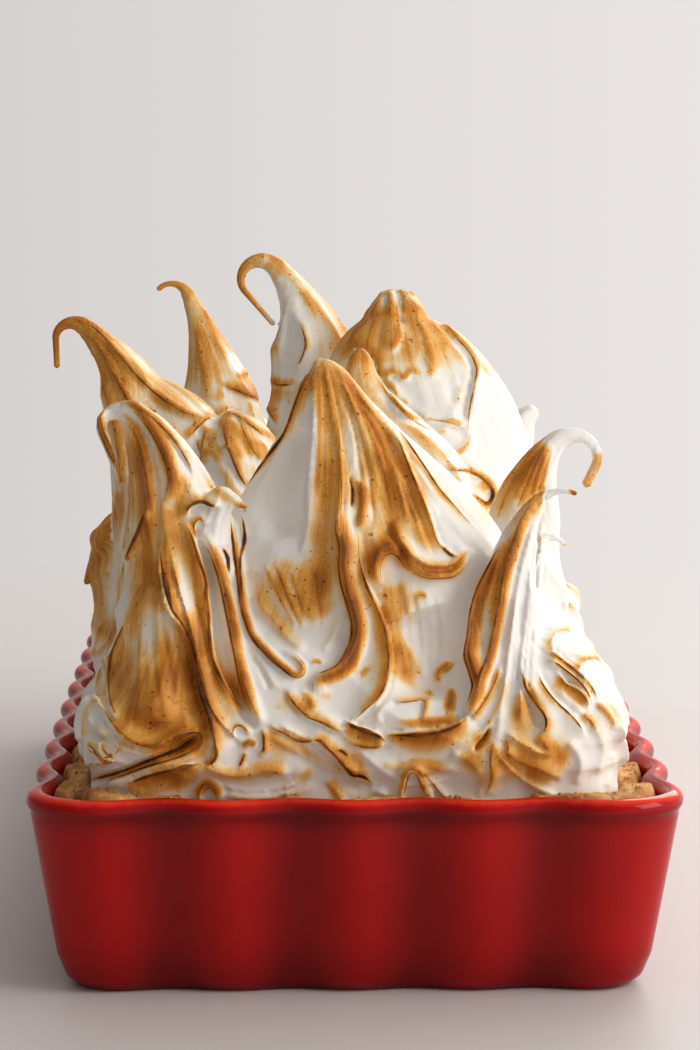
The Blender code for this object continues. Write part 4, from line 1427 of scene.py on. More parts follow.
FRONT_SPRAYS: tuple[Spray, ...] = (
    # The centre, from its tip down.
    Spray((((316, 370), (317, 420), (315, 470), (312, 520), (306, 556)), ((333, 366), (340, 420), (342, 470),
          (340, 520), (338, 560))), 4, 0.35, 6, 0.30),
    Spray((((336, 368), (345, 400), (352, 430), (356, 455), (360, 480), (362, 530)), ((340, 370), (366, 410),
          (388, 445), (400, 480), (410, 520), (420, 552))), 6, 0.50, 6, 0.36),
    Spray((((341, 371), (370, 412), (395, 450), (412, 485), (428, 520), (440, 548)), ((345, 374), (385, 425),
          (420, 464), (450, 498), (474, 525))), 5, 0.60, 7, 0.22),
    Spray((((290, 415), (280, 450), (268, 490), (270, 530)), ((308, 400), (304, 450), (300, 500),
          (296, 540))), 4, 0.22, 7, 0.04),
    Spray((((250, 556), (268, 590), (292, 630)), ((318, 560), (322, 600), (328, 640))), 5, 0.45, 7, 0.32),
    # The pocket.
    Spray((((368, 560), (384, 620), (392, 680)), ((440, 582), (448, 640), (440, 700))), 6, 0.35, 8, 0.16),
    # The left hook, its shoulder and the pillars.
    Spray((((150, 410), (176, 447), (194, 482)), ((156, 410), (200, 465), (238, 502))), 4, 0.45, 6, 0.18),
    Spray((((108, 420), (116, 470), (120, 540)), ((150, 440), (158, 490), (160, 550))), 5, 0.45, 6, 0.34),
    Spray((((168, 545), (178, 600), (200, 680), (214, 740)), ((197, 545), (205, 600), (216, 660),
          (240, 710))), 3, 0.50, 6, 0.34),
    Spray((((205, 540), (218, 610), (240, 690), (262, 730)), ((236, 540), (240, 600), (262, 660),
          (290, 700))), 4, 0.45, 6, 0.12),
    # The fan.
    Spray((((138, 560), (122, 612), (110, 655), (106, 692), (116, 724)), ((160, 560), (172, 620), (188, 680),
          (200, 726))), 9, 0.40, 6, 0.26),
    # The right cone and its folds.
    Spray((((541, 504), (520, 560), (508, 640), (500, 700), (490, 745)), ((548, 506), (541, 600), (536, 680),
          (548, 742))), 5, 0.60, 9, 0.07),
    Spray((((497, 565), (480, 615), (474, 660), (472, 715)), ((520, 530), (506, 580), (496, 640),
          (480, 690))), 3, 0.50, 6, 0.40),
    # The right arch's golden face.
    Spray((((540, 440), (518, 468), (500, 495), (486, 528)), ((556, 440), (548, 480), (542, 520))), 5, 0.45,
          6, 0.36),
    # The base.
    Spray((((86, 744), (104, 762), (130, 764)), ((92, 708), (112, 742), (146, 752))), 3, 1.20, 10, 0.18),
    Spray((((205, 772), (240, 786), (285, 782), (318, 764)), ((204, 796), (245, 802), (290, 800),
          (330, 786))), 2, 0.70, 9, 0.14),
    Spray((((255, 735), (290, 752), (330, 772), (372, 796)), ((280, 722), (318, 744), (352, 768),
          (398, 786))), 3, 0.80, 9, 0.16),
    Spray((((398, 752), (430, 752), (470, 745)), ((398, 792), (430, 790), (474, 780))), 3, 0.90, 10, 0.14),
)

REAR_SPRAYS: tuple[Spray, ...] = (
    Spray((((78, 324), (98, 355), (120, 395), (148, 430)), ((112, 342), (150, 374), (190, 402), (214, 412))),
          5, 0.60, 8, 0.32),
    Spray((((190, 432), (196, 455), (206, 470)), ((234, 414), (248, 444), (262, 466))), 5, 0.90, 7, 0.42),
    Spray((((377, 297), (360, 325), (350, 355)), ((395, 297), (400, 330), (398, 368))), 4, 0.60, 8, 0.30),
    Spray((((399, 300), (404, 335), (410, 370)), ((418, 294), (440, 330), (453, 372))), 5, 0.60, 8, 0.28),
    Spray((((440, 372), (452, 400), (458, 424)), ((478, 366), (476, 395), (470, 425))), 3, 0.60, 9, 0.12),
    Spray((((480, 352), (482, 400), (490, 450)), ((506, 390), (520, 420), (530, 450))), 4, 0.50, 9, 0.04),
    Spray((((278, 300), (276, 328), (266, 352)), ((302, 296), (314, 325), (322, 350))), 4, 0.60, 7, 0.10),
    Spray((((194, 305), (196, 340), (188, 380)), ((200, 298), (222, 340), (240, 368))), 4, 0.60, 8, 0.34),
    Spray((((114, 480), (110, 520), (100, 560)), ((140, 470), (140, 520), (132, 570))), 4, 0.80, 8, 0.36),
)

REAR_FOLDS: tuple[Fold, ...] = RIGHT_CURLS + (
    # The left hook's flank and the striped swirl before it.
    Fold(((78, 318), (98, 330), (118, 352), (140, 378), (165, 400), (190, 414), (215, 420)), 1.4, 12, 8,
         0.45, 0.50, RIDGE),
    Fold(((92, 335), (108, 362), (124, 392), (140, 425), (150, 450)), 1.4, 12, 8, 0.40, 0.40),
    Fold(((85, 330), (98, 370), (110, 410), (118, 450), (122, 490)), 1.2, 10, 8, 0.35, 0.30, RIDGE),
    Fold(((186, 440), (200, 424), (214, 415), (232, 413), (250, 424), (270, 440)), 1.2, 9, 7, 0.45, 0.45),
    Fold(((206, 425), (202, 450), (200, 470)), 1.2, 8, 6, 0.45, 0.35),
    Fold(((222, 418), (228, 445), (240, 475), (250, 490)), 1.4, 9, 6, 0.45, 0.50),
    Fold(((238, 414), (248, 440), (262, 462)), 1.2, 9, 6, 0.42, 0.35),
    # Behind the centre on the left.
    Fold(((222, 384), (242, 392), (262, 402), (278, 425)), 1.6, 10, 7, 0.45, 0.75),
    Fold(((236, 378), (256, 372), (276, 384), (296, 383)), 1.4, 9, 7, 0.35, 0.65),
    Fold(((300, 320), (306, 345), (296, 372)), 1.4, 9, 7, 0.30, 0.40),
    Fold(((288, 300), (280, 330), (270, 355), (262, 375)), 1.2, 10, 7, 0.35, 0.30),
    # The high blade's ribs.
    Fold(((376, 294), (362, 316), (350, 345)), 1.2, 12, 8, 0.30, 0.12, RIDGE),
    Fold(((392, 350), (399, 335), (397, 315), (394, 296)), 1.6, 16, 7, 0.40, 0.25),
    Fold(((396, 286), (399, 304), (402, 325)), 2.6, 5, 5, 0.0, 0.0, GROOVE),
    Fold(((385, 287), (384, 300), (383, 315)), 1.6, 4, 4, 0.0, 0.0, GROOVE),
    Fold(((411, 296), (418, 318), (428, 340), (432, 358), (430, 372), (424, 378)), 1.4, 9, 9, 0.32, 0.22,
         RIDGE),
    Fold(((419, 290), (438, 314), (456, 336), (470, 352), (477, 368), (475, 385), (470, 410), (468, 430)),
         2.0, 16, 9, 0.34, 0.42),
    Fold(((385, 378), (394, 372), (404, 378), (412, 372), (424, 376)), 1.3, 8, 7, 0.25, 0.22),
    Fold(((386, 382), (398, 404), (414, 417), (440, 420), (455, 424), (468, 431)), 1.8, 9, 9, 0.22, 0.30),
    Fold(((462, 384), (456, 405), (450, 420)), 1.0, 8, 7, 0.10, 0.10, RIDGE),
    # The second spike and the pale swirls at the right.
    Fold(((372, 348), (380, 378), (394, 402), (420, 424), (450, 436)), 1.4, 12, 8, 0.22, 0.30),
    Fold(((440, 432), (452, 422), (466, 426), (468, 442), (458, 452), (444, 450)), 1.4, 8, 6, 0.25, 0.15,
         RIDGE),
    Fold(((444, 469), (456, 470), (466, 470), (480, 476), (492, 488), (493, 498), (487, 504), (474, 496),
         (462, 489)), 1.6, 8, 6, 0.45, 0.75),
)

REAR_STROKES: tuple[Stroke, ...] = (
    Stroke(((112, 500), (104, 540), (90, 575)), 11, 0.40),
    Stroke(((100, 570), (98, 600), (104, 630)), 12, 0.42),
    Stroke(((118, 620), (106, 640)), 9, 0.30),
    Stroke(((80, 318), (58, 332), (53, 362)), 6, 0.35),
    Stroke(((100, 345), (118, 400), (124, 470)), 12, 0.26),
    Stroke(((150, 385), (190, 412)), 9, 0.18),
    Stroke(((200, 320), (206, 360), (205, 385)), 13, 0.34),
    Stroke(((232, 350), (238, 372)), 6, -0.3),
    Stroke(((240, 385), (275, 395)), 9, 0.22),
    Stroke(((352, 345), (362, 318), (374, 298)), 10, 0.30),
    Stroke(((380, 315), (378, 345), (374, 372)), 10, 0.20),
    Stroke(((418, 294), (432, 320), (444, 345), (446, 370)), 12, 0.34),
    Stroke(((402, 330), (408, 350), (414, 368)), 6, 0.25),
    Stroke(((430, 400), (440, 412)), 12, -0.4),
    Stroke(((480, 370), (495, 410), (500, 460)), 18, -0.6),
    Stroke(((515, 410), (520, 450)), 14, -1.5),
    Stroke(((274, 300), (291, 335), (300, 372)), 9, -0.8),
    Stroke(((62, 316), (80, 319), (98, 338), (118, 368), (142, 398)), 9, 0.24),
    Stroke(((53, 362), (54, 345), (60, 330)), 4, 0.40),
    Stroke(((236, 272), (241, 286), (251, 306), (263, 319), (272, 327)), 5, 0.75),
    Stroke(((232, 262), (240, 246), (256, 243), (272, 254), (288, 275)), 5, 0.36),
    Stroke(((300, 288), (320, 312)), 6, 0.36),
    Stroke(((246, 380), (268, 392), (290, 384)), 9, 0.34),
    Stroke(((215, 430), (236, 430), (258, 450)), 8, 0.20),
    Stroke(((118, 500), (100, 550), (84, 588)), 8, 0.35),
    Stroke(((480, 360), (505, 400)), 5, 0.25),
    Stroke(((346, 350), (360, 346), (374, 352)), 6, 0.45),
    Stroke(((480, 480), (488, 492)), 6, 0.35),
)


def near_route(pixels: Array, route: Array) -> tuple[Array, Array]:
    """Signed distance from a route in the photograph, and the share along it.

    Args:
        pixels: Pixel places, one row each.
        route: The route's closely spaced pixels.

    Returns:
        Distances in pixels, over 0 right of the route's way as seen, and shares from 0 to 1.
    """
    best = np.full(len(pixels), FAR)
    chosen = np.zeros(len(pixels), int)
    for number, point in enumerate(route):
        far = (pixels[:, 0] - point[0]) ** 2 + (pixels[:, 1] - point[1]) ** 2
        nearer = far < best
        best[nearer], chosen[nearer] = far[nearer], number
    way = unit(np.gradient(route, axis=0))
    away = pixels - route[chosen]
    side = way[chosen, 0] * away[:, 1] - way[chosen, 1] * away[:, 0]
    return np.sqrt(best) * np.sign(side), chosen / (len(route) - 1)


def close_to(pixels: Array, shows: Array, route: Array, reach: float) -> Array:
    """Numbers of the places that show within reach of a route's box, in pixels."""
    low, high = route.min(0) - reach, route.max(0) + reach
    return np.nonzero(shows & np.all((pixels[:, :2] > low) & (pixels[:, :2] < high), axis=1))[0]


def front_share(points: Array, normals: Array) -> Array:
    """1 on the face that the folds cover, 0 elsewhere."""
    facing = np.clip(-normals[:, 1] * 1.6 + 0.2, 0, 1)
    return facing * np.clip((-0.105 - points[:, 1]) / 0.015, 0, 1)


@dataclass(frozen=True)
class Sight:
    """What the photograph's camera sees, by a coarse map of how near the surface is."""

    cell: float = 3.0
    cells: int = 400
    least_facing: float = -0.05

    def seen(self, points: Array, pixels: Array, normals: Array, slack: float = 0.007) -> Array:
        """Which points show.

        Args:
            points: Places, one row each.
            pixels: The same places as CAMERA.project gives them.
            normals: Outward normals there.
            slack: How far behind the nearest surface still counts, in metres.

        Returns:
            True for each point that shows.
        """
        column, row = (np.clip((pixels[:, k] / self.cell).astype(int), 0, self.cells - 1) for k in (0, 1))
        nearest = np.full((self.cells, self.cells), FAR)
        np.minimum.at(nearest, (row, column), pixels[:, 2])
        towards = unit(np.array(CAMERA.place) - points)
        facing = np.einsum("ij,ij->i", towards, normals)
        return (pixels[:, 2] < nearest[row, column] + slack) & (facing > self.least_facing)


SIGHT = Sight()


@dataclass(frozen=True)
class Relief:
    """What is drawn over the masses: freehand swirls, streaks and folds. Sizes in metres."""

    spacing: float = 0.021
    across: Triple = (0.55, 0.80, 0.95)
    bend: float = 0.011
    ridge: float = 0.0021
    swell: float = 0.0012
    grain: float = 0.0003
    from_z: float = 0.047
    to_z: float = 0.112
    foot_z: float = 0.068
    streak: float = 0.00045
    fine_streak: float = 0.00018
    drawn_out: float = 0.10
    fold_growth: float = 1.2
    fold_end: float = 0.12
    towards_normal: float = 0.35
    lean_share: float = 0.5

    def swirls(self, points: Array, normals: Array) -> Array:
        """How far the freehand swirls move each place out, given the normals there.

        Args:
            points: Places, one row each.
            normals: Outward normals there.

        Returns:
            A height for each place, in metres.
        """
        bend = np.stack([BROAD.at(points + shift, 0.030) for shift in (0.0, 0.11, 0.23)], axis=1)
        warped = points + self.bend * bend
        wave = 2 * math.pi * (warped @ np.array(self.across)) / self.spacing
        ridges = 1 - np.abs(np.sin(wave / 2)) ** 0.75
        swell = BROAD.at(points, 0.018)
        rising = np.clip((points[:, 2] - self.from_z) / 0.006, 0, 1)
        fade = rising * np.clip((self.to_z - points[:, 2]) / 0.022, 0.12, 1)
        foot = np.clip((self.foot_z - points[:, 2]) / 0.010, 0, 1.1)
        lee = np.clip(1.0 - 0.75 * front_share(points, normals) + foot, 0.2, 1.3)
        grain = FINE.at(points, 0.006)
        return fade * lee * (self.ridge * (ridges - 0.45) + self.swell * swell + self.grain * grain)

    def streaks(self, place: Array) -> Array:
        """How far a spatula's fine streaks move out places, given unrolled as MeringueMass.flow does."""
        drawn = place * np.array([1.0, 1.0, self.drawn_out])
        return self.streak * BROAD.at(drawn, 0.0040) + self.fine_streak * FINE.at(drawn, 0.0014)

    def press(self, skin: Skin, fold: Fold, normals: Array) -> None:
        """Raise one fold on the skin.

        Args:
            skin: The surface, whose points move.
            fold: The fold.
            normals: Smoothed normals of the surface.
        """
        pixels = CAMERA.project(skin.points)
        route = fold.line()
        near = close_to(pixels, np.ones(len(pixels), bool), route, 1.7 * max(fold.soft, fold.sharp) + 3)
        index = near[SIGHT.seen(skin.points[near], pixels[near], normals[near])]
        if not len(index):
            return
        away, share = near_route(pixels[index, :2], route)
        taper = faded(share, self.fold_end) ** 0.7
        rise = self.fold_growth * fold.rise * MM * taper * fold.profile(away)
        towards = np.array(CAMERA.place) - skin.points[index]
        towards = (1 - self.towards_normal) * towards / np.linalg.norm(towards, axis=1, keepdims=True)
        skin.points[index] += (self.towards_normal * normals[index] + towards) * rise[:, None]
        if not fold.lean:
            return
        way = unit(np.gradient(route, axis=0))
        here = way[np.clip((share * (len(route) - 1)).astype(int), 0, len(route) - 1)]
        right, up, _ = CAMERA.axes()
        sideways = np.outer(-here[:, 1], right) + np.outer(-here[:, 0], up)
        crest = np.exp(-(away / (0.35 * fold.soft)) ** 2) * (away < 0.3 * fold.sharp)
        lean = fold.lean * fold.rise * MM * self.lean_share * taper * crest
        skin.points[index] += sideways * lean[:, None]


@dataclass
class MeringueMass:
    """One modelled mass of the meringue: a stretch of the mound with its peaks. Sizes in metres.

    triangles is what its skin is thinned to, and deepest how dark it gets away from its dark edge lines,
    which are burnt and painted shade.
    """

    name: str
    peaks: tuple[str, ...]
    centre_y: float
    half_length: float
    swell: float
    voxel: float
    triangles: int
    folds: tuple[Fold, ...]
    strokes: tuple[Stroke, ...]
    front: bool
    deepest: float
    relief: Relief = Relief()

    # The mound from the recess up: height, outset from the recess wall, corner radius.
    MOUND_WALL = (
        (0.0403, 0.0000, 0.0125),
        (0.0506, 0.0000, 0.0125),
        (0.0535, 0.0010, 0.0150),
        (0.0590, 0.0018, 0.0180),
        (0.0660, 0.0000, 0.0200),
        (0.0760, -0.0060, 0.0220),
        (0.0860, -0.0140, 0.0220),
        (0.0940, -0.0250, 0.0200),
        (0.0990, -0.0400, 0.0160),
    )
    HALF_WIDTH = 0.0639
    SWOLLEN_ABOVE, RECESS_GAP = 0.0520, 0.0003
    END_SLOPE = 2.6
    RING_POINTS = 360
    RINGS = 60
    QUICK = 1.7
    # Rounds of filling in the valleys at FINE_GRAIN, what is added at any grain, and the share of each.
    FINE_GRAIN, FILLING, LEAST_FILLING, FILLED = 0.0006, 14, 4, 0.6
    CREST_ROUNDS = 6
    SIGHT_FACTOR = 0.0001
    MOST = 184000
    # Half width under which a peak's end is a thread, in voxels, and how the thread's root narrows.
    THREAD = 3.2
    ROOT_STEPS, ROOT_WIDTH, ROOT_GROWTH = 5, 0.70, 0.06
    # How brown the back and sides are: by patch, height, painted shade on the left side away from the
    # window, and edge. Then the folded front.
    GENERAL = (0.28, 0.08, 0.08, 0.24)
    CALM = (0.03, 0.10, 0.06)
    STEEPNESS = 1.45
    BLACKEST = 0.85
    # How far past its foot a peak draws the streaks, and what keeps one peak's noise from another's.
    DRAWN, PEAK_OFFSET = 0.050, 0.37

    def grain(self) -> float:
        return self.voxel * 1.0

    def mound(self) -> Array:
        """Rings of this mass's stretch of the mound, from the recess up.

        Returns:
            Ring by ring, point by point, places in metres.
        """
        rows = np.array(self.MOUND_WALL)
        number = np.arange(len(rows))
        made = []
        for share in np.linspace(0, len(rows) - 1, self.RINGS):
            z, outset, corner = (float(np.interp(share, number, rows[:, k])) for k in range(3))
            grow = self.swell if z > self.SWOLLEN_ABOVE else -self.RECESS_GAP
            half_width = self.HALF_WIDTH + outset + grow
            half_length = (self.half_length + outset + grow) * (1 + self.END_SLOPE * min(outset, 0.0))
            made.append(rounded_ring(half_width, half_length, corner, self.RING_POINTS, self.centre_y, z))
        return np.array(made)

    def raised(self) -> Skin:
        """The mound and its peaks as one skin, with rounded valleys.

        Returns:
            The skin.
        """
        tubes = [self.mound()] + [PEAKS[name].rings() for name in self.peaks]
        skin = remeshed(gather(self.name, tubes), self.grain())
        rounds = int(self.FILLING * (self.FINE_GRAIN / self.grain()) ** 2) + self.LEAST_FILLING
        skin.relax(1, 0.5)
        skin.fill_hollows(rounds * 3, self.FILLED)
        return skin

    def folded(self, skin: Skin) -> Skin:
        """The skin with its folds and swirls, remeshed to even faces.

        Args:
            skin: The mound and its peaks.

        Returns:
            The folded skin.
        """
        normals = skin.smoothed_normals(6)
        skin.points += normals * self.relief.swirls(skin.points, normals)[:, None]
        skin.points += normals * self.relief.streaks(self.flow(skin.points))[:, None]
        for fold in self.folds:
            self.relief.press(skin, fold, normals)
        again = remeshed(skin.to_mesh(self.name), self.grain())
        again.relax(1, 0.35)
        return again

    def threads(self) -> list[Array]:
        """Rings of the peaks' thin ends, which are finer than the voxels.

        Returns:
            The rings of each thin end.
        """
        made = []
        for name in self.peaks:
            rings, (line, width) = PEAKS[name].rings(), PEAKS[name].spine()
            thin = (width < self.THREAD * self.voxel) & (np.arange(len(width)) > 2 * Peak.STEPS)
            if not thin.any():
                continue
            first = max(int(np.argmax(thin)) - 3, 0)
            end = rings[first:].copy()
            for k in range(self.ROOT_STEPS):
                middle = line[first + k]
                end[k] = middle + (end[k] - middle) * (self.ROOT_WIDTH + self.ROOT_GROWTH * k)
            made.append(end[:, ::3])
        return made

    def thinned(self, skin: Skin) -> Mesh:
        """The skin with fewer triangles, most of them where the photograph looks.

        Args:
            skin: The folded skin.

        Returns:
            The mesh.
        """
        obj = link(self.name, skin.to_mesh(self.name))
        if len(skin.quads) * 2 > self.triangles:
            pixels = CAMERA.project(skin.points)
            unseen = ~SIGHT.seen(skin.points, pixels, skin.smoothed_normals(3), 0.012)
            obj.vertex_groups.new(name="unseen").add(np.nonzero(unseen)[0].tolist(), 1.0, "REPLACE")
            thin = obj.modifiers.new("thin", "DECIMATE")
            thin.ratio = self.triangles / (len(skin.quads) * 2)
            thin.use_collapse_triangulate = True
            thin.vertex_group = "unseen"
            thin.vertex_group_factor = self.SIGHT_FACTOR
        mesh = settled(obj)
        if len(mesh.polygons) > self.MOST:
            obj = link(self.name, mesh)
            evenly = obj.modifiers.new("evenly", "DECIMATE")
            evenly.ratio = self.MOST / len(mesh.polygons)
            mesh = settled(obj)
        return mesh

    def joined(self, mesh: Mesh, threads: list[Array]) -> Mesh:
        """A mesh and the threads as one mesh.

        Args:
            mesh: The mass.
            threads: The rings of each thread.

        Returns:
            The whole mesh.
        """
        edit = bmesh.new()
        edit.from_mesh(mesh)
        if threads:
            edit.from_mesh(gather("threads", threads))
        whole = bpy.data.meshes.new(self.name)
        edit.to_mesh(whole)
        edit.free()
        return whole

    def build(self, finish: Material) -> Object:
        """Model and dress this mass.

        Args:
            finish: The meringue's material.

        Returns:
            The finished piece.
        """
        skin = self.folded(self.raised())
        crest = skin.crest(self.CREST_ROUNDS)
        tree = KDTree(len(skin.points))
        for number, point in enumerate(skin.points):
            tree.insert(point, number)
        tree.balance()
        threads = self.threads()
        mesh = self.joined(self.thinned(skin), threads)
        points = points_of(mesh)
        added = sum(rings.shape[0] * rings.shape[1] + 2 for rings in threads)
        thread = np.arange(len(points)) >= len(points) - added
        own = np.empty(points.size, np.float32)
        mesh.vertex_normals.foreach_get("vector", own)
        nearest = np.array([tree.find(point)[1] for point in points])
        normals = np.where(thread[:, None], own.reshape(-1, 3), skin.smoothed_normals(2)[nearest])
        store(mesh, "toast", self.toast(points, normals, crest[nearest]))
        store(mesh, "flow", self.flow(points))
        return dressed(self.name, mesh, finish)

    def flow(self, points: Array) -> Array:
        """Places unrolled along the nearest peak: two round it and one along it, in metres.

        Args:
            points: Places, one row each.

        Returns:
            A row for each place.
        """
        nearest = np.full(len(points), FAR)
        flow = points.copy()
        for number, name in enumerate(self.peaks):
            reach = PEAKS[name].radii[0] + self.DRAWN
            away = np.linalg.norm(points[:, :2] - np.array(PEAKS[name].foot), axis=1)
            index = np.nonzero(away < reach)[0]
            far, place = PEAKS[name].flow(points[index])
            closer = far < nearest[index]
            nearest[index[closer]] = far[closer]
            flow[index[closer]] = place[closer] + number * self.PEAK_OFFSET
        return flow

    def toast(self, points: Array, normals: Array, crest: Array) -> Array:
        """How brown the mass is, with painted shade on its left side and along the folds' dark edge lines.

        Args:
            points: Places, one row each.
            normals: Outward normals there.
            crest: How far each point stands out of its surroundings, in metres.

        Returns:
            A level for each place, 0 where it is white and 1 where it is burnt.
        """
        patch = BROAD.at(points, 0.034) * 0.6 + BROAD.at(points + 0.5, 0.015) * 0.4
        height = np.clip((points[:, 2] - 0.070) / 0.080, 0, 1)
        # Painted shade: browner towards the left, the side away from the window.
        lee = np.clip(-points[:, 0] / 0.070 + 0.4, 0, 1)
        edge = np.clip(crest / (0.30 * MM), -1.0, 1.5)
        by_patch, by_height, by_shaded_left, by_edge = self.GENERAL
        general = by_patch * patch + by_height * height + by_shaded_left * lee + by_edge * edge
        share = front_share(points, normals) if self.front else np.zeros(len(points))
        least, by_crest, by_cloud = self.CALM
        calm = least + by_crest * np.clip(edge, 0, 1) + by_cloud * patch
        golden, touched, burnt_and_shaded = self.torched(points, normals)
        level = np.clip(np.maximum(general * (1 - share) + calm * share, golden) + touched, 0, None)
        level = self.deepest * (1 - np.exp(-self.STEEPNESS * level / self.deepest))
        wavering = 0.85 + 0.35 * BROAD.at(points, 0.006) + 0.15 * FINE.at(points, 0.002)
        return np.maximum(level, np.clip(burnt_and_shaded * np.clip(wavering, 0.45, 1.05), 0, self.BLACKEST))

    def torched(self, points: Array, normals: Array) -> tuple[Array, Array, Array]:
        """What the folds and touches do to the colour.

        Args:
            points: Places, one row each.
            normals: Outward normals there.

        Returns:
            Gold from the folds, gold from the touches, and the dark edge lines, burnt and painted shade.
        """
        pixels = CAMERA.project(points)
        shows = SIGHT.seen(points, pixels, normals, 0.010)
        golden, touched, burnt_and_shaded = np.zeros((3, len(points)))
        for stroke in self.strokes:
            route = smooth_route(stroke.route, stroke.STEP)
            index = close_to(pixels, shows, route, 3.6 * stroke.radius)
            touched[index] += stroke.level(*near_route(pixels[index, :2], route))
        for fold in self.folds:
            route = fold.line()
            index = close_to(pixels, shows, route, 2.4 * max(fold.soft, fold.sharp) + 4)
            away, share = near_route(pixels[index, :2], route)
            taper = faded(share, 0.20)
            golden[index] = np.maximum(golden[index], taper * fold.golden(away))
            burnt_and_shaded[index] = np.maximum(burnt_and_shaded[index], taper * fold.burnt_and_shaded(away))
        patchy = 0.92 + 0.40 * BROAD.at(points, 0.010) + 0.25 * FINE.at(points, 0.0035)
        patchy = np.clip(patchy, 0.4, 1.3)
        return patchy * golden, patchy * touched, burnt_and_shaded


@dataclass(frozen=True)
class BurntAndShadedEdges:
    """The darkest edges of a mass's folds, as fine strips that lie on it: dried, burnt edges, and painted
    shade where a fold overhangs and in the creases of grooves. Sizes in metres.
    """

    name: str
    folds: tuple[Fold, ...]
    least: float = 0.28
    half_width: float = 0.00050
    sides: int = 6
    jump: float = 0.0025
    shortest: int = 6

    def stretches(self, fold: Fold, tree: BVHTree) -> list[Array]:
        """Where a fold's edge lies on the mass.

        Args:
            fold: The fold.
            tree: The mass's faces.

        Returns:
            Unbroken stretches, as rows of place, normal and share along the fold.
        """
        route = fold.line()
        way = unit(np.gradient(route, axis=0))
        edge = route + fold.dark_line_at * np.stack([-way[:, 1], way[:, 0]], axis=1)
        made: list[list[Array]] = [[]]
        for number, ray in enumerate(CAMERA.rays(edge)):
            place, normal, _, _ = tree.ray_cast(CAMERA.place, ray)
            if place is None:
                made.append([])
                continue
            found = np.array([*place, *normal, number / (len(route) - 1)])
            if made[-1] and np.linalg.norm(found[:3] - made[-1][-1][:3]) > self.jump:
                made.append([])
            made[-1].append(found)
        return [np.array(rows) for rows in made if len(rows) >= self.shortest]

    def strip(self, rows: Array, dark: float) -> tuple[Array, Array]:
        """One strip along a stretch.

        Args:
            rows: The stretch, as stretches gives it.
            dark: How dark the fold's edge line is.

        Returns:
            Its rings, and how brown each of their points is.
        """
        points, normals = rows[:, :3].copy(), rows[:, 3:6].copy()
        for values in (points, normals) * 3:
            values[1:-1] = 0.25 * values[:-2] + 0.5 * values[1:-1] + 0.25 * values[2:]
        along = unit(np.gradient(points, axis=0))
        normals = unit(normals - along * np.sum(normals * along, axis=1, keepdims=True))
        across = np.cross(along, normals)
        order = np.arange(len(rows))
        ends = np.clip(np.minimum(order, order[::-1]) / 8, 0.12, 1.0)
        wander = np.clip(0.9 + 0.9 * BROAD.at(points, 0.005) + 0.4 * FINE.at(points, 0.0015), 0.15, 1.6)
        half = self.half_width * dark ** 1.2 * ends * faded(rows[:, 6], 0.20, 0.25) * wander
        half = half[:, None, None]
        angle = 2 * math.pi * np.arange(self.sides) / self.sides
        rings = (points[:, None] + across[:, None] * (half * np.cos(angle)[None, :, None])
                 + normals[:, None] * (half * (0.45 * np.sin(angle) + 0.1)[None, :, None]))
        brown = 0.56 + 0.36 * dark + 0.20 * FINE.at(points, 0.003)
        return rings, brown[:, None] - 0.08 * np.abs(np.cos(angle))[None, :]

    def build(self, mass: Object, finish: Material) -> Object:
        """Lay the strips on a mass.

        Args:
            mass: The mass.
            finish: The meringue's material.

        Returns:
            All the strips as one piece.
        """
        tree = BVHTree.FromObject(mass, bpy.context.evaluated_depsgraph_get())
        tubes, browns = [], []
        for fold in self.folds:
            if fold.dark < self.least:
                continue
            for rows in self.stretches(fold, tree):
                rings, brown = self.strip(rows, fold.dark)
                tubes.append(rings)
                browns.append(np.concatenate([brown.ravel(), brown[0, :1], brown[-1, :1]]))
        mesh = gather(self.name, tubes)
        store(mesh, "toast", np.clip(np.concatenate(browns), 0, 1))
        store(mesh, "flow", points_of(mesh))
        piece = dressed(self.name, mesh, finish)
        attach(piece, ROOT)
        return piece


class Meringue:
    """The whole meringue: a finely folded front mass and the long mass behind it."""

    FRONT_PEAKS = ("front_left", "shoulder_tip", "front_blade", "front_right", "right_arch", "right_curl")

    def build(self) -> list[Object]:
        """Model both masses and their edge strips, attach them to the root and hide the imported meringue.

        Returns:
            The finished pieces.
        """
        material = TorchedMeringue().build()
        rear = tuple(name for name in PEAKS if name not in self.FRONT_PEAKS)
        masses = (
            MeringueMass("meringue_front", self.FRONT_PEAKS, -0.1290, 0.0381, 0.0006, 0.00044, 176000,
                         FRONT_FOLDS + sprayed(FRONT_SPRAYS), FRONT_STROKES, True, 0.70),
            MeringueMass("meringue_rear", rear, 0.0190, 0.1481, 0.0, 0.00080, 170000,
                         REAR_FOLDS + sprayed(REAR_SPRAYS), REAR_STROKES, False, 0.58),
        )
        pieces = []
        for mass in masses:
            piece = mass.build(material)
            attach(piece, ROOT)
            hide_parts("meringue")
            edges = BurntAndShadedEdges(mass.name + "_edges", mass.folds).build(piece, material)
            pieces += [piece, edges]
        return pieces


# ---------------------------------------------------------------- dish and crust


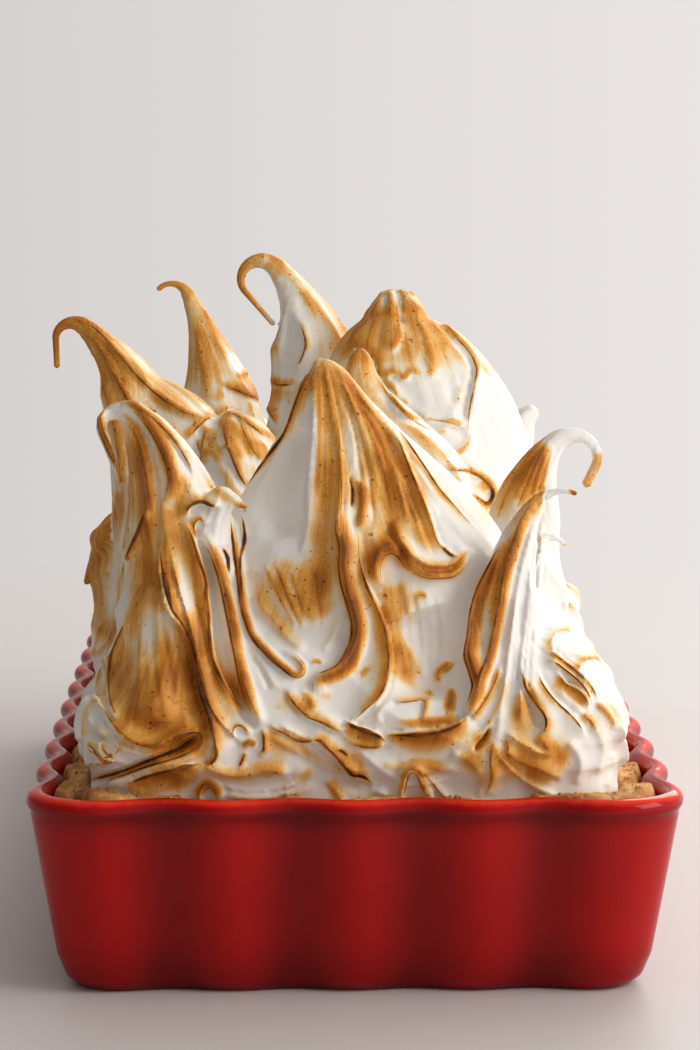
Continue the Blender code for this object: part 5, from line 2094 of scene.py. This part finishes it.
@dataclass
class Dish:
    """Fluted baking dish of glazed stoneware. Sizes in metres, at the crests of its flutes."""

    height: float = 0.0478
    flutes_short: int = 4
    flutes_long: int = 11
    pitch_short: float = 0.0300
    pitch_long: float = 0.0296
    rim_corner: float = 0.0180
    wall: float = 0.0050
    floor: float = 0.0060
    floor_rounding: float = 0.0030
    floor_rounding_top: float = 0.0100
    straight_wall_top: float = 0.0380
    lip: float = 0.0026
    flute_depth: float = 0.0030
    foot_rounding: float = 0.0009
    points_per_flute: int = 22
    points_per_corner: int = 22

    # The outer wall from the foot up: height, inset from the rim line, corner radius, flute depth.
    OUTER_WALL = (
        (0.0000, 0.0114, 0.0105, 0.0016),
        (0.0024, 0.0088, 0.0116, 0.0022),
        (0.0080, 0.0068, 0.0124, 0.0026),
        (0.0240, 0.0040, 0.0148, 0.0030),
        (0.0415, 0.0010, 0.0174, 0.0030),
    )
    WALL_RINGS, LIP_RINGS, INNER_RINGS, FLOOR_RINGS = 26, 22, 8, 6
    LIP_FROM, LIP_TURN = -50.0, 250.0
    INNER_CORNER, INNER_FLUTE = 0.004, 0.9
    # Rings of the foot: how far in from its edge, and 1 where the clay is bare.
    FOOT = ((0.0150, 0.0), (0.0050, 1.0), (0.0022, 1.0), (0.0010, 0.0))
    # The lip's angle where the glaze is thinnest, and over how many degrees it fades.
    THINNEST, THIN_SPREAD = 62, 34

    @property
    def half_width(self) -> float:
        """Half the rim's size along X."""
        return self.rim_corner + self.flutes_short * self.pitch_short / 2

    @property
    def half_length(self) -> float:
        """Half the rim's size along Y."""
        return self.rim_corner + self.flutes_long * self.pitch_long / 2

    def outline(self, inset: float, corner: float, flute: float) -> tuple[Array, Array]:
        """A fluted outline of the dish.

        Args:
            inset: How far it lies in from the rim line.
            corner: Corner radius.
            flute: Depth of the flutes.

        Returns:
            Points in the plane, anticlockwise from the front's middle, and for each 0 on a crest and 1
            in a hollow.
        """
        half_width, half_length = self.half_width - inset, self.half_length - inset
        run_x, run_y = half_width - corner, half_length - corner
        points: list[tuple[float, float]] = []
        hollow: list[float] = []
        for i in range(round(self.flutes_short / 2 * self.points_per_flute)):
            along = i * 2 * run_x / self.flutes_short / self.points_per_flute
            low = (1 - math.cos(math.pi * self.flutes_short * (run_x - along) / run_x)) / 2
            points.append((along, -half_length + flute * low))
            hollow.append(low)
        for i in range(self.points_per_corner + 1):
            angle = -math.pi / 2 + math.pi / 2 * i / self.points_per_corner
            points.append((run_x + corner * math.cos(angle), -run_y + corner * math.sin(angle)))
            hollow.append(0.0)
        count = round(self.flutes_long / 2 * self.points_per_flute)
        for i in reversed(range(count)):
            along = run_y * i / count
            low = (1 - math.cos(math.pi * self.flutes_long * (run_y - along) / run_y)) / 2
            points.append((half_width - flute * low, -along))
            hollow.append(low)
        quarter = list(zip(points, hollow))
        right = quarter + [((x, -y), low) for (x, y), low in quarter[-2::-1]]
        whole = right + [((-x, y), low) for (x, y), low in right[-2:0:-1]]
        return np.array([point for point, _ in whole]), np.array([low for _, low in whole])

    def wall_at(self, z: float) -> Triple:
        """The outer wall's inset, corner radius and flute depth at a height."""
        rows = np.array(self.OUTER_WALL)
        return tuple(float(np.interp(z, rows[:, 0], rows[:, k])) for k in (1, 2, 3))

    def inner_at(self, z: float, gap: float = 0.0) -> Triple:
        """The inner wall's inset, corner radius and flute depth at a height, drawn in by a gap.

        Args:
            z: The height.
            gap: How far it is drawn in.

        Returns:
            Inset, corner radius and flute depth.
        """
        inset, corner, flute = self.wall_at(z)
        corner = max(corner - self.wall / 2, self.INNER_CORNER)
        return inset + self.wall + gap, corner, flute * self.INNER_FLUTE

    def inner(self, z: float, gap: float = 0.0) -> Array:
        """The inner wall's outline at a height, drawn in by a gap."""
        return self.outline(*self.inner_at(z, gap))[0]

    def build(self, glaze: Material) -> Object:
        """Model and glaze the dish.

        Args:
            glaze: Its material.

        Returns:
            The finished piece.
        """
        rings: list[Array] = []
        layers: dict[str, list[Array]] = {"pool": [], "thin": [], "bare": []}

        def add(z: float, inset: float, corner: float, flute: float, thin: float = 0.0, bare: float = 0.0,
                pooled_and_shaded: float = 0.0) -> None:
            """Add one ring with its glaze and painted shade."""
            flat, low = self.outline(inset, corner, flute)
            rings.append(np.column_stack([flat, np.full(len(flat), z)]))
            layers["pool"].append(0.15 + 0.55 * low * (1 - thin) + pooled_and_shaded)
            layers["thin"].append(np.full(len(flat), thin) * (1 - 0.35 * low))
            layers["bare"].append(np.full(len(flat), bare))

        inset, corner, flute = self.wall_at(0.0)
        for inward, bare in self.FOOT:
            add(0.0, inset + inward, corner, flute, bare=bare)
        for share in np.linspace(0, 1, self.WALL_RINGS) ** 1.6:
            z = share * self.OUTER_WALL[-1][0]
            inset, corner, flute = self.wall_at(z)
            rounding = self.foot_rounding * max(0.0, 1 - z / self.foot_rounding) ** 2
            # Painted shade and reflection: darker just under the lip and near the foot.
            pooled_and_shaded = 0.3 * max(0.0, (z - 0.0385) / 0.003) + 0.45 * max(0.0, 1 - z / 0.014)
            add(z, inset + rounding * 0.4, corner, flute, pooled_and_shaded=pooled_and_shaded)
        middle = self.height - self.lip
        for angle in np.linspace(self.LIP_FROM, self.LIP_FROM + self.LIP_TURN, self.LIP_RINGS):
            out = self.lip * math.cos(math.radians(angle))
            z = middle + self.lip * math.sin(math.radians(angle))
            thin = 0.9 * math.exp(-((angle - self.THINNEST) / self.THIN_SPREAD) ** 2)
            # Painted shade and reflection on the lower, outward side of the lip's roll.
            pooled_and_shaded = 0.5 * max(0.0, min(1.0, (25 - angle) / 40))
            add(z, self.lip - out, self.rim_corner - self.lip + out, self.flute_depth, thin, pooled_and_shaded=pooled_and_shaded)
        for z in np.linspace(self.straight_wall_top, self.floor_rounding_top, self.INNER_RINGS):
            add(z, *self.inner_at(z))
        for step in range(1, self.FLOOR_RINGS + 1):
            share = step / self.FLOOR_RINGS
            angle = math.pi / 2 * step / self.FLOOR_RINGS
            z = self.floor_rounding_top - (self.floor_rounding_top - self.floor) * math.sin(angle)
            inset, corner, flute = self.wall_at(z)
            inward = self.floor_rounding * (1 - math.cos(angle))
            add(z, inset + self.wall + inward, corner * (0.85 - 0.15 * share), flute * (0.9 - 0.3 * share))
        mesh = gather("glazed_dish", [np.array(rings)])
        for name, rows in layers.items():
            store(mesh, name, np.concatenate([*rows, [rows[0].mean(), rows[-1].mean()]]))
        dish = dressed("glazed_dish", mesh, glaze)
        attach(dish, ROOT)
        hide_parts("dish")
        return dish


@dataclass
class Crust:
    """Shortcrust case: fills the dish up to a shallow recess, with a crumbly border round it."""

    dish: Dish
    gap: float = 0.0003
    border: float = 0.0088
    top: float = 0.0462
    corner_rise: float = 0.0030
    recess_floor: float = 0.0400
    recess_corner: float = 0.0125
    slab: float = 0.0008
    lump: float = 0.0007
    crumb: float = 0.00035
    crack: float = 0.0008
    points: int = 1500
    border_rings: int = 26
    wall_rings: int = 10
    recess_rings: int = 5

    # How brown the wall, the recess and the middles of the two ends are.
    WALL_BROWN, RECESS_BROWN, UNDER_BROWN, MIDDLE_BROWN = 0.5, 0.15, 0.5, 0.2

    def even(self, ring: Array) -> Array:
        """A closed outline with evenly spaced points, from the front's middle on.

        Args:
            ring: The outline's points in the plane.

        Returns:
            As many points as the crust's rings have.
        """
        closed = np.concatenate([ring, ring[:1]])
        length = np.concatenate([[0], np.cumsum(np.linalg.norm(np.diff(closed, axis=0), axis=1))])
        places = length[-1] * np.arange(self.points) / self.points
        return np.column_stack([np.interp(places, length, closed[:, k]) for k in (0, 1)])

    def recess(self) -> Array:
        """The recess's outline in the plane.

        Returns:
            Evenly spaced points.
        """
        inset = self.dish.wall + self.border
        ring = rounded_ring(self.dish.half_width - inset, self.dish.half_length - inset, self.recess_corner,
                            self.points)
        return self.even(ring[:, :2])

    def baked_top(self, flat: Array, share: float) -> tuple[Array, Array, Array]:
        """One ring of the crumbly border.

        Args:
            flat: The ring in the plane.
            share: 0 at the dish's wall, 1 at the recess.

        Returns:
            The ring moved in the plane, its heights, and how brown it is.
        """
        dish = self.dish
        place = np.column_stack([flat, np.full(self.points, 0.046)])
        lumps = 0.55 * BROAD.at(place, 0.0058) + 0.45 * FINE.at(place, 0.0026)
        crumbs = FINE.at(place + 0.3, 0.0011)
        cracks = np.abs(BROAD.at(place + 0.7, 0.0042))
        across = np.clip(np.abs(flat[:, 0]) / dish.half_width - 0.62, 0, 1) / 0.38
        along = np.clip(np.abs(flat[:, 1]) / dish.half_length - 0.82, 0, 1) / 0.18
        rise = self.corner_rise * np.minimum(1.0, across * along * 1.6)
        rounded = 0.0030 * (1 - min(1.0, share / 0.16)) ** 2 + 0.0016 * max(0.0, (share - 0.86) / 0.14) ** 2
        slabs = np.tanh(5 * BROAD.at(place + 0.9, 0.0075))
        relief = self.slab * slabs + self.lump * lumps + self.crumb * crumbs
        relief -= self.crack * np.clip(1 - cracks / 0.10, 0, 1)
        shift = 0.0007 * (BROAD.at(place + 1.1, 0.005) - 0.6) * math.sin(math.pi * share)
        browned = np.clip(0.42 + 0.45 * lumps + 0.25 * (1 - share) - 0.3 * (cracks < 0.08), 0, 1)
        return flat + unit(flat) * shift[:, None] * 0.5, self.top + rise + relief - rounded, browned

    def build(self, pastry: Material) -> Object:
        """Model and bake the crust.

        Args:
            pastry: Its material.

        Returns:
            The finished piece.
        """
        dish = self.dish
        rings: list[Array] = []
        browned: list[Array] = []

        def add(flat: Array, z: float | Array, brown: float | Array) -> None:
            """Add one ring."""
            rings.append(np.column_stack([flat, np.broadcast_to(z, self.points)]))
            browned.append(np.broadcast_to(brown, self.points))

        inset, corner, flute = dish.wall_at(dish.floor)
        inset += dish.wall + dish.floor_rounding + 2 * self.gap
        floor = dish.outline(inset, corner * 0.7, flute * 0.6)[0]
        add(self.even(floor), dish.floor + self.gap, self.WALL_BROWN)
        for z in np.linspace(dish.floor_rounding_top + self.gap, self.top - 0.0030, self.wall_rings):
            add(self.even(dish.inner(z, 2 * self.gap if z < 0.012 else self.gap)), z, self.WALL_BROWN)
        outer, inner = self.even(dish.inner(self.top, self.gap)), self.recess()
        for share in np.linspace(0.0, 1.0, self.border_rings):
            add(*self.baked_top(outer + (inner - outer) * share, share))
        for z in np.linspace(self.top - 0.0022, self.recess_floor, self.recess_rings):
            add(inner, z, self.RECESS_BROWN)
        mesh = gather("shortcrust", [np.array(rings)])
        store(mesh, "browned", np.concatenate([*browned, [self.UNDER_BROWN, self.MIDDLE_BROWN]]))
        crust = dressed("shortcrust", mesh, pastry)
        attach(crust, ROOT)
        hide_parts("crust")
        return crust


@dataclass(frozen=True)
class Scatter:
    """Loose bits strewn over the top of a surface by a node tree. Sizes in metres."""

    name: str
    density: float
    smallest: float
    largest: float
    lowest: float
    seed: int

    KINDS = {"Geometry": "Geometry", "Density": "Float", "Smallest": "Float", "Largest": "Float",
             "Lowest": "Float", "Seed": "Int", "Bit": "Object", "Finish": "Material"}
    LEVEL = 0.6

    def tree(self) -> bpy.types.NodeTree:
        """The node tree: points on the faces that look up, a bit on each, made real.

        Returns:
            The tree, with its sizes as named inputs.
        """
        tree = bpy.data.node_groups.new(self.name, "GeometryNodeTree")
        tree.interface.new_socket("Geometry", in_out="OUTPUT", socket_type="NodeSocketGeometry")
        for name, kind in self.KINDS.items():
            tree.interface.new_socket(name, in_out="INPUT", socket_type="NodeSocket" + kind)
        wiring = Wiring(tree)
        given = wiring.node("NodeGroupInput").outputs
        seed = given["Seed"]
        high = self.above(wiring, "GeometryNodeInputPosition", given["Lowest"])
        level = self.above(wiring, "GeometryNodeInputNormal", self.LEVEL)
        both = wiring.node("FunctionNodeBooleanMath", {0: high, 1: level}).outputs[0]
        strewn = wiring.node("GeometryNodeDistributePointsOnFaces", {
            "Mesh": given["Geometry"], "Selection": both, "Density": given["Density"], "Seed": seed})
        turn = wiring.node("FunctionNodeRandomValue", {"Max": (2 * math.pi,) * 3, "Seed": seed},
                           data_type="FLOAT_VECTOR")
        size = wiring.node("FunctionNodeRandomValue", {
            2: given["Smallest"], 3: given["Largest"], "Seed": seed})
        bit = wiring.node("GeometryNodeObjectInfo", {"Object": given["Bit"]})
        placed = wiring.node("GeometryNodeInstanceOnPoints", {
            "Points": strewn.outputs["Points"], "Instance": bit.outputs["Geometry"],
            "Rotation": turn.outputs[0], "Scale": size.outputs[1]})
        real = wiring.node("GeometryNodeRealizeInstances", {0: placed.outputs[0]})
        finish = wiring.node("GeometryNodeSetMaterial", {
            "Geometry": real.outputs[0], "Material": given["Finish"]})
        wiring.node("NodeGroupOutput", {0: finish.outputs[0]})
        return tree

    def above(self, wiring: Wiring, kind: str, limit: Socket | float) -> Socket:
        """Whether the Z of a surface's position or normal lies above a limit."""
        height = wiring.split(wiring.node(kind).outputs[0], "Z")
        return wiring.node("FunctionNodeCompare", {"A": height, "B": limit}).outputs[0]

    def strew(self, surface: Mesh, bit: Mesh, finish: Material) -> Object:
        """Strew bits over a surface.

        Args:
            surface: What they lie on.
            bit: One bit, about 1 m across, which is scaled down.
            finish: The bits' material.

        Returns:
            All the bits as one piece.
        """
        tree = self.tree()
        sample = link("sample", bit)
        carrier = link("carrier", surface.copy())
        strewing = carrier.modifiers.new("strewing", "NODES")
        strewing.node_group = tree
        values = {"Density": self.density, "Smallest": self.smallest, "Largest": self.largest,
                  "Lowest": self.lowest, "Seed": self.seed, "Bit": sample, "Finish": finish}
        for socket in tree.interface.items_tree:
            if socket.in_out == "INPUT" and socket.name in values:
                strewing[socket.identifier] = values[socket.name]
        mesh = settled(carrier)
        mesh.name = self.name
        bpy.data.objects.remove(sample, do_unlink=True)
        piece = link(self.name, mesh)
        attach(piece, ROOT)
        return piece


def crumb() -> Mesh:
    """One rough crumb of pastry, 1 m across.

    Returns:
        Its mesh.
    """
    mesh = bpy.data.meshes.new("crumb")
    edit = bmesh.new()
    bmesh.ops.create_icosphere(edit, subdivisions=2, radius=0.5)
    for vert in edit.verts:
        vert.co *= 1 + 0.35 * float(BROAD.at(np.array([vert.co]), 0.45)[0])
        vert.co.z *= 0.7
    edit.to_mesh(mesh)
    edit.free()
    mesh.shade_smooth()
    return mesh


def shred(count: int = 7, bend: float = 0.9) -> Mesh:
    """One curled shred of peel, about 1 m long, as rings along an arc.

    Args:
        count: Number of rings.
        bend: Half the angle that it turns through, in radians.

    Returns:
        Its mesh.
    """
    side = np.array([0.0, 1.0, 0.0])
    corners = ((-0.20, -0.07), (0.20, -0.07), (0.20, 0.07), (-0.20, 0.07))
    rings = []
    for share, angle in zip(np.linspace(-1, 1, count), np.linspace(-bend, bend, count)):
        half = 0.5 * math.sqrt(1.02 - share * share)
        middle = np.array([0.55 * math.sin(angle), 0.0, 0.55 * math.cos(angle) - 0.45])
        out = np.array([math.sin(angle), 0.0, math.cos(angle)])
        rings.append([middle + side * a * half * 2 + out * b * half * 2 for a, b in corners])
    return gather("shred", [np.array(rings)])


# ---------------------------------------------------------------- stage


@dataclass(frozen=True)
class Lamp:
    """One soft square lamp aimed at the tart. Sizes in metres."""

    name: str
    place: Triple
    watts: float
    size: float
    colour: Triple = (1.0, 0.985, 0.96)
    aim: Triple = (0.0, -0.05, 0.08)

    def build(self) -> None:
        """Put the lamp in the scene."""
        light = bpy.data.lights.new(self.name, "AREA")
        light.energy = self.watts
        light.size = self.size
        light.color = self.colour
        obj = link(self.name, light)
        obj.location = self.place
        aim = Vector(self.aim) - Vector(self.place)
        obj.rotation_euler = aim.to_track_quat("-Z", "Y").to_euler()


@dataclass(frozen=True)
class Studio:
    """Pale floor and room, with a big soft window to the right."""

    room: Triple = (0.735, 0.700, 0.678)
    shade_side: float = 0.31
    window_side: float = 1.30
    front_side: float = 0.60
    window_brightening: float = 0.95
    floor_colour: Triple = (0.660, 0.618, 0.592)
    floor_radius: float = 4.0
    fade_from: float = 0.20
    fade_to: float = 0.62
    lamps: tuple[Lamp, ...] = (
        Lamp("window", (0.70, -0.40, 0.48), 4.0, 0.52),
        Lamp("back_window", (0.42, 0.80, 0.62), 5.0, 0.60),
    )

    def build(self) -> None:
        """Put floor, lights and surrounding light in the scene."""
        view = bpy.context.scene.view_settings
        view.view_transform = "Standard"
        view.look = "None"
        self.floor()
        self.surroundings()
        for lamp in self.lamps:
            lamp.build()

    def floor(self) -> None:
        """A matt floor whose far part melts into a glowing backdrop in the room's colour, brighter towards
        the window on the right: painted light.
        """
        mesh = bpy.data.meshes.new("floor")
        edit = bmesh.new()
        bmesh.ops.create_circle(edit, cap_ends=True, segments=96, radius=self.floor_radius)
        edit.to_mesh(mesh)
        edit.free()
        floor = link("floor", mesh)
        shade = Shading("pale_floor")
        place = shade.place()
        tone = shade.varied(1.0, shade.noise(place, 9.0, 5.0), 0.10)
        tinted = shade.node("ShaderNodeVectorMath", {0: self.floor_colour, "Scale": tone}, operation="SCALE")
        shade.colour(tinted.outputs[0])
        shade.set(Roughness=0.55)
        way = shade.vector("NORMALIZE", shade.vector("SUBTRACT", place, CAMERA.place))
        # Painted light: the glow grows brighter towards the window side.
        strength = shade.math("MULTIPLY_ADD", shade.split(way, "X"), self.window_brightening, 1.0)
        glow = shade.node("ShaderNodeEmission", {"Color": (*self.room, 1.0), "Strength": strength})
        away = shade.vector("LENGTH", place, output="Value")
        far = shade.node("ShaderNodeMixShader", {0: shade.between(away, self.fade_from, self.fade_to),
                                                 1: shade.shader.outputs[0], 2: glow.outputs[0]})
        shade.tree.links.new(far.outputs[0], shade.tree.nodes["Material Output"].inputs["Surface"])
        mesh.materials.append(shade.material)

    def surroundings(self) -> None:
        """Room light: dim on the left and in front, bright on the right, pale behind the tart."""
        world = bpy.data.worlds.new("soft_room")
        world.use_nodes = True
        air = Wiring(world.node_tree)
        way = air.node("ShaderNodeTexCoord").outputs["Generated"]
        x, y = air.split(way, "X"), air.split(way, "Y")
        side = air.between(x, -0.9, 0.9, self.shade_side, self.window_side, "SMOOTHSTEP")
        behind = air.between(y, 0.55, 0.95, kind="SMOOTHSTEP")
        around = air.math("MULTIPLY", side, air.between(y, -0.9, 0.2, self.front_side))
        wall = air.math("MULTIPLY_ADD", x, self.window_brightening, 1.0)
        level = air.node("ShaderNodeMix", {"Factor": behind, "A": around, "B": wall}).outputs["Result"]
        background = world.node_tree.nodes["Background"].inputs
        background["Color"].default_value = (*self.room, 1.0)
        world.node_tree.links.new(level, background["Strength"])
        bpy.context.scene.world = world


def report(piece: Object) -> None:
    """Say what was built."""
    LOG.info("%s: %d faces", piece.name, len(piece.data.polygons))


def main() -> None:
    """Build the camera, the stage and the tart's pieces."""
    logging.basicConfig(level=logging.INFO, format="%(name)s: %(message)s")
    CAMERA.build()
    Studio().build()
    dish = Dish()
    report(dish.build(RedGlaze().build()))
    crust = Crust(dish).build(BakedPastry().build())
    report(crust)
    crumbs = Scatter("pastry_crumbs", 90000.0, 0.0005, 0.0013, 0.0440, 5)
    report(crumbs.strew(crust.data, crumb(), BakedPastry("loose_crumbs").build()))
    zest = Scatter("lime_zest_flecks", 9000.0, 0.0012, 0.0026, 0.0445, 11)
    report(zest.strew(crust.data, shred(), LimeZest().build()))
    for piece in Meringue().build():
        report(piece)


if __name__ == "__main__":
    main()
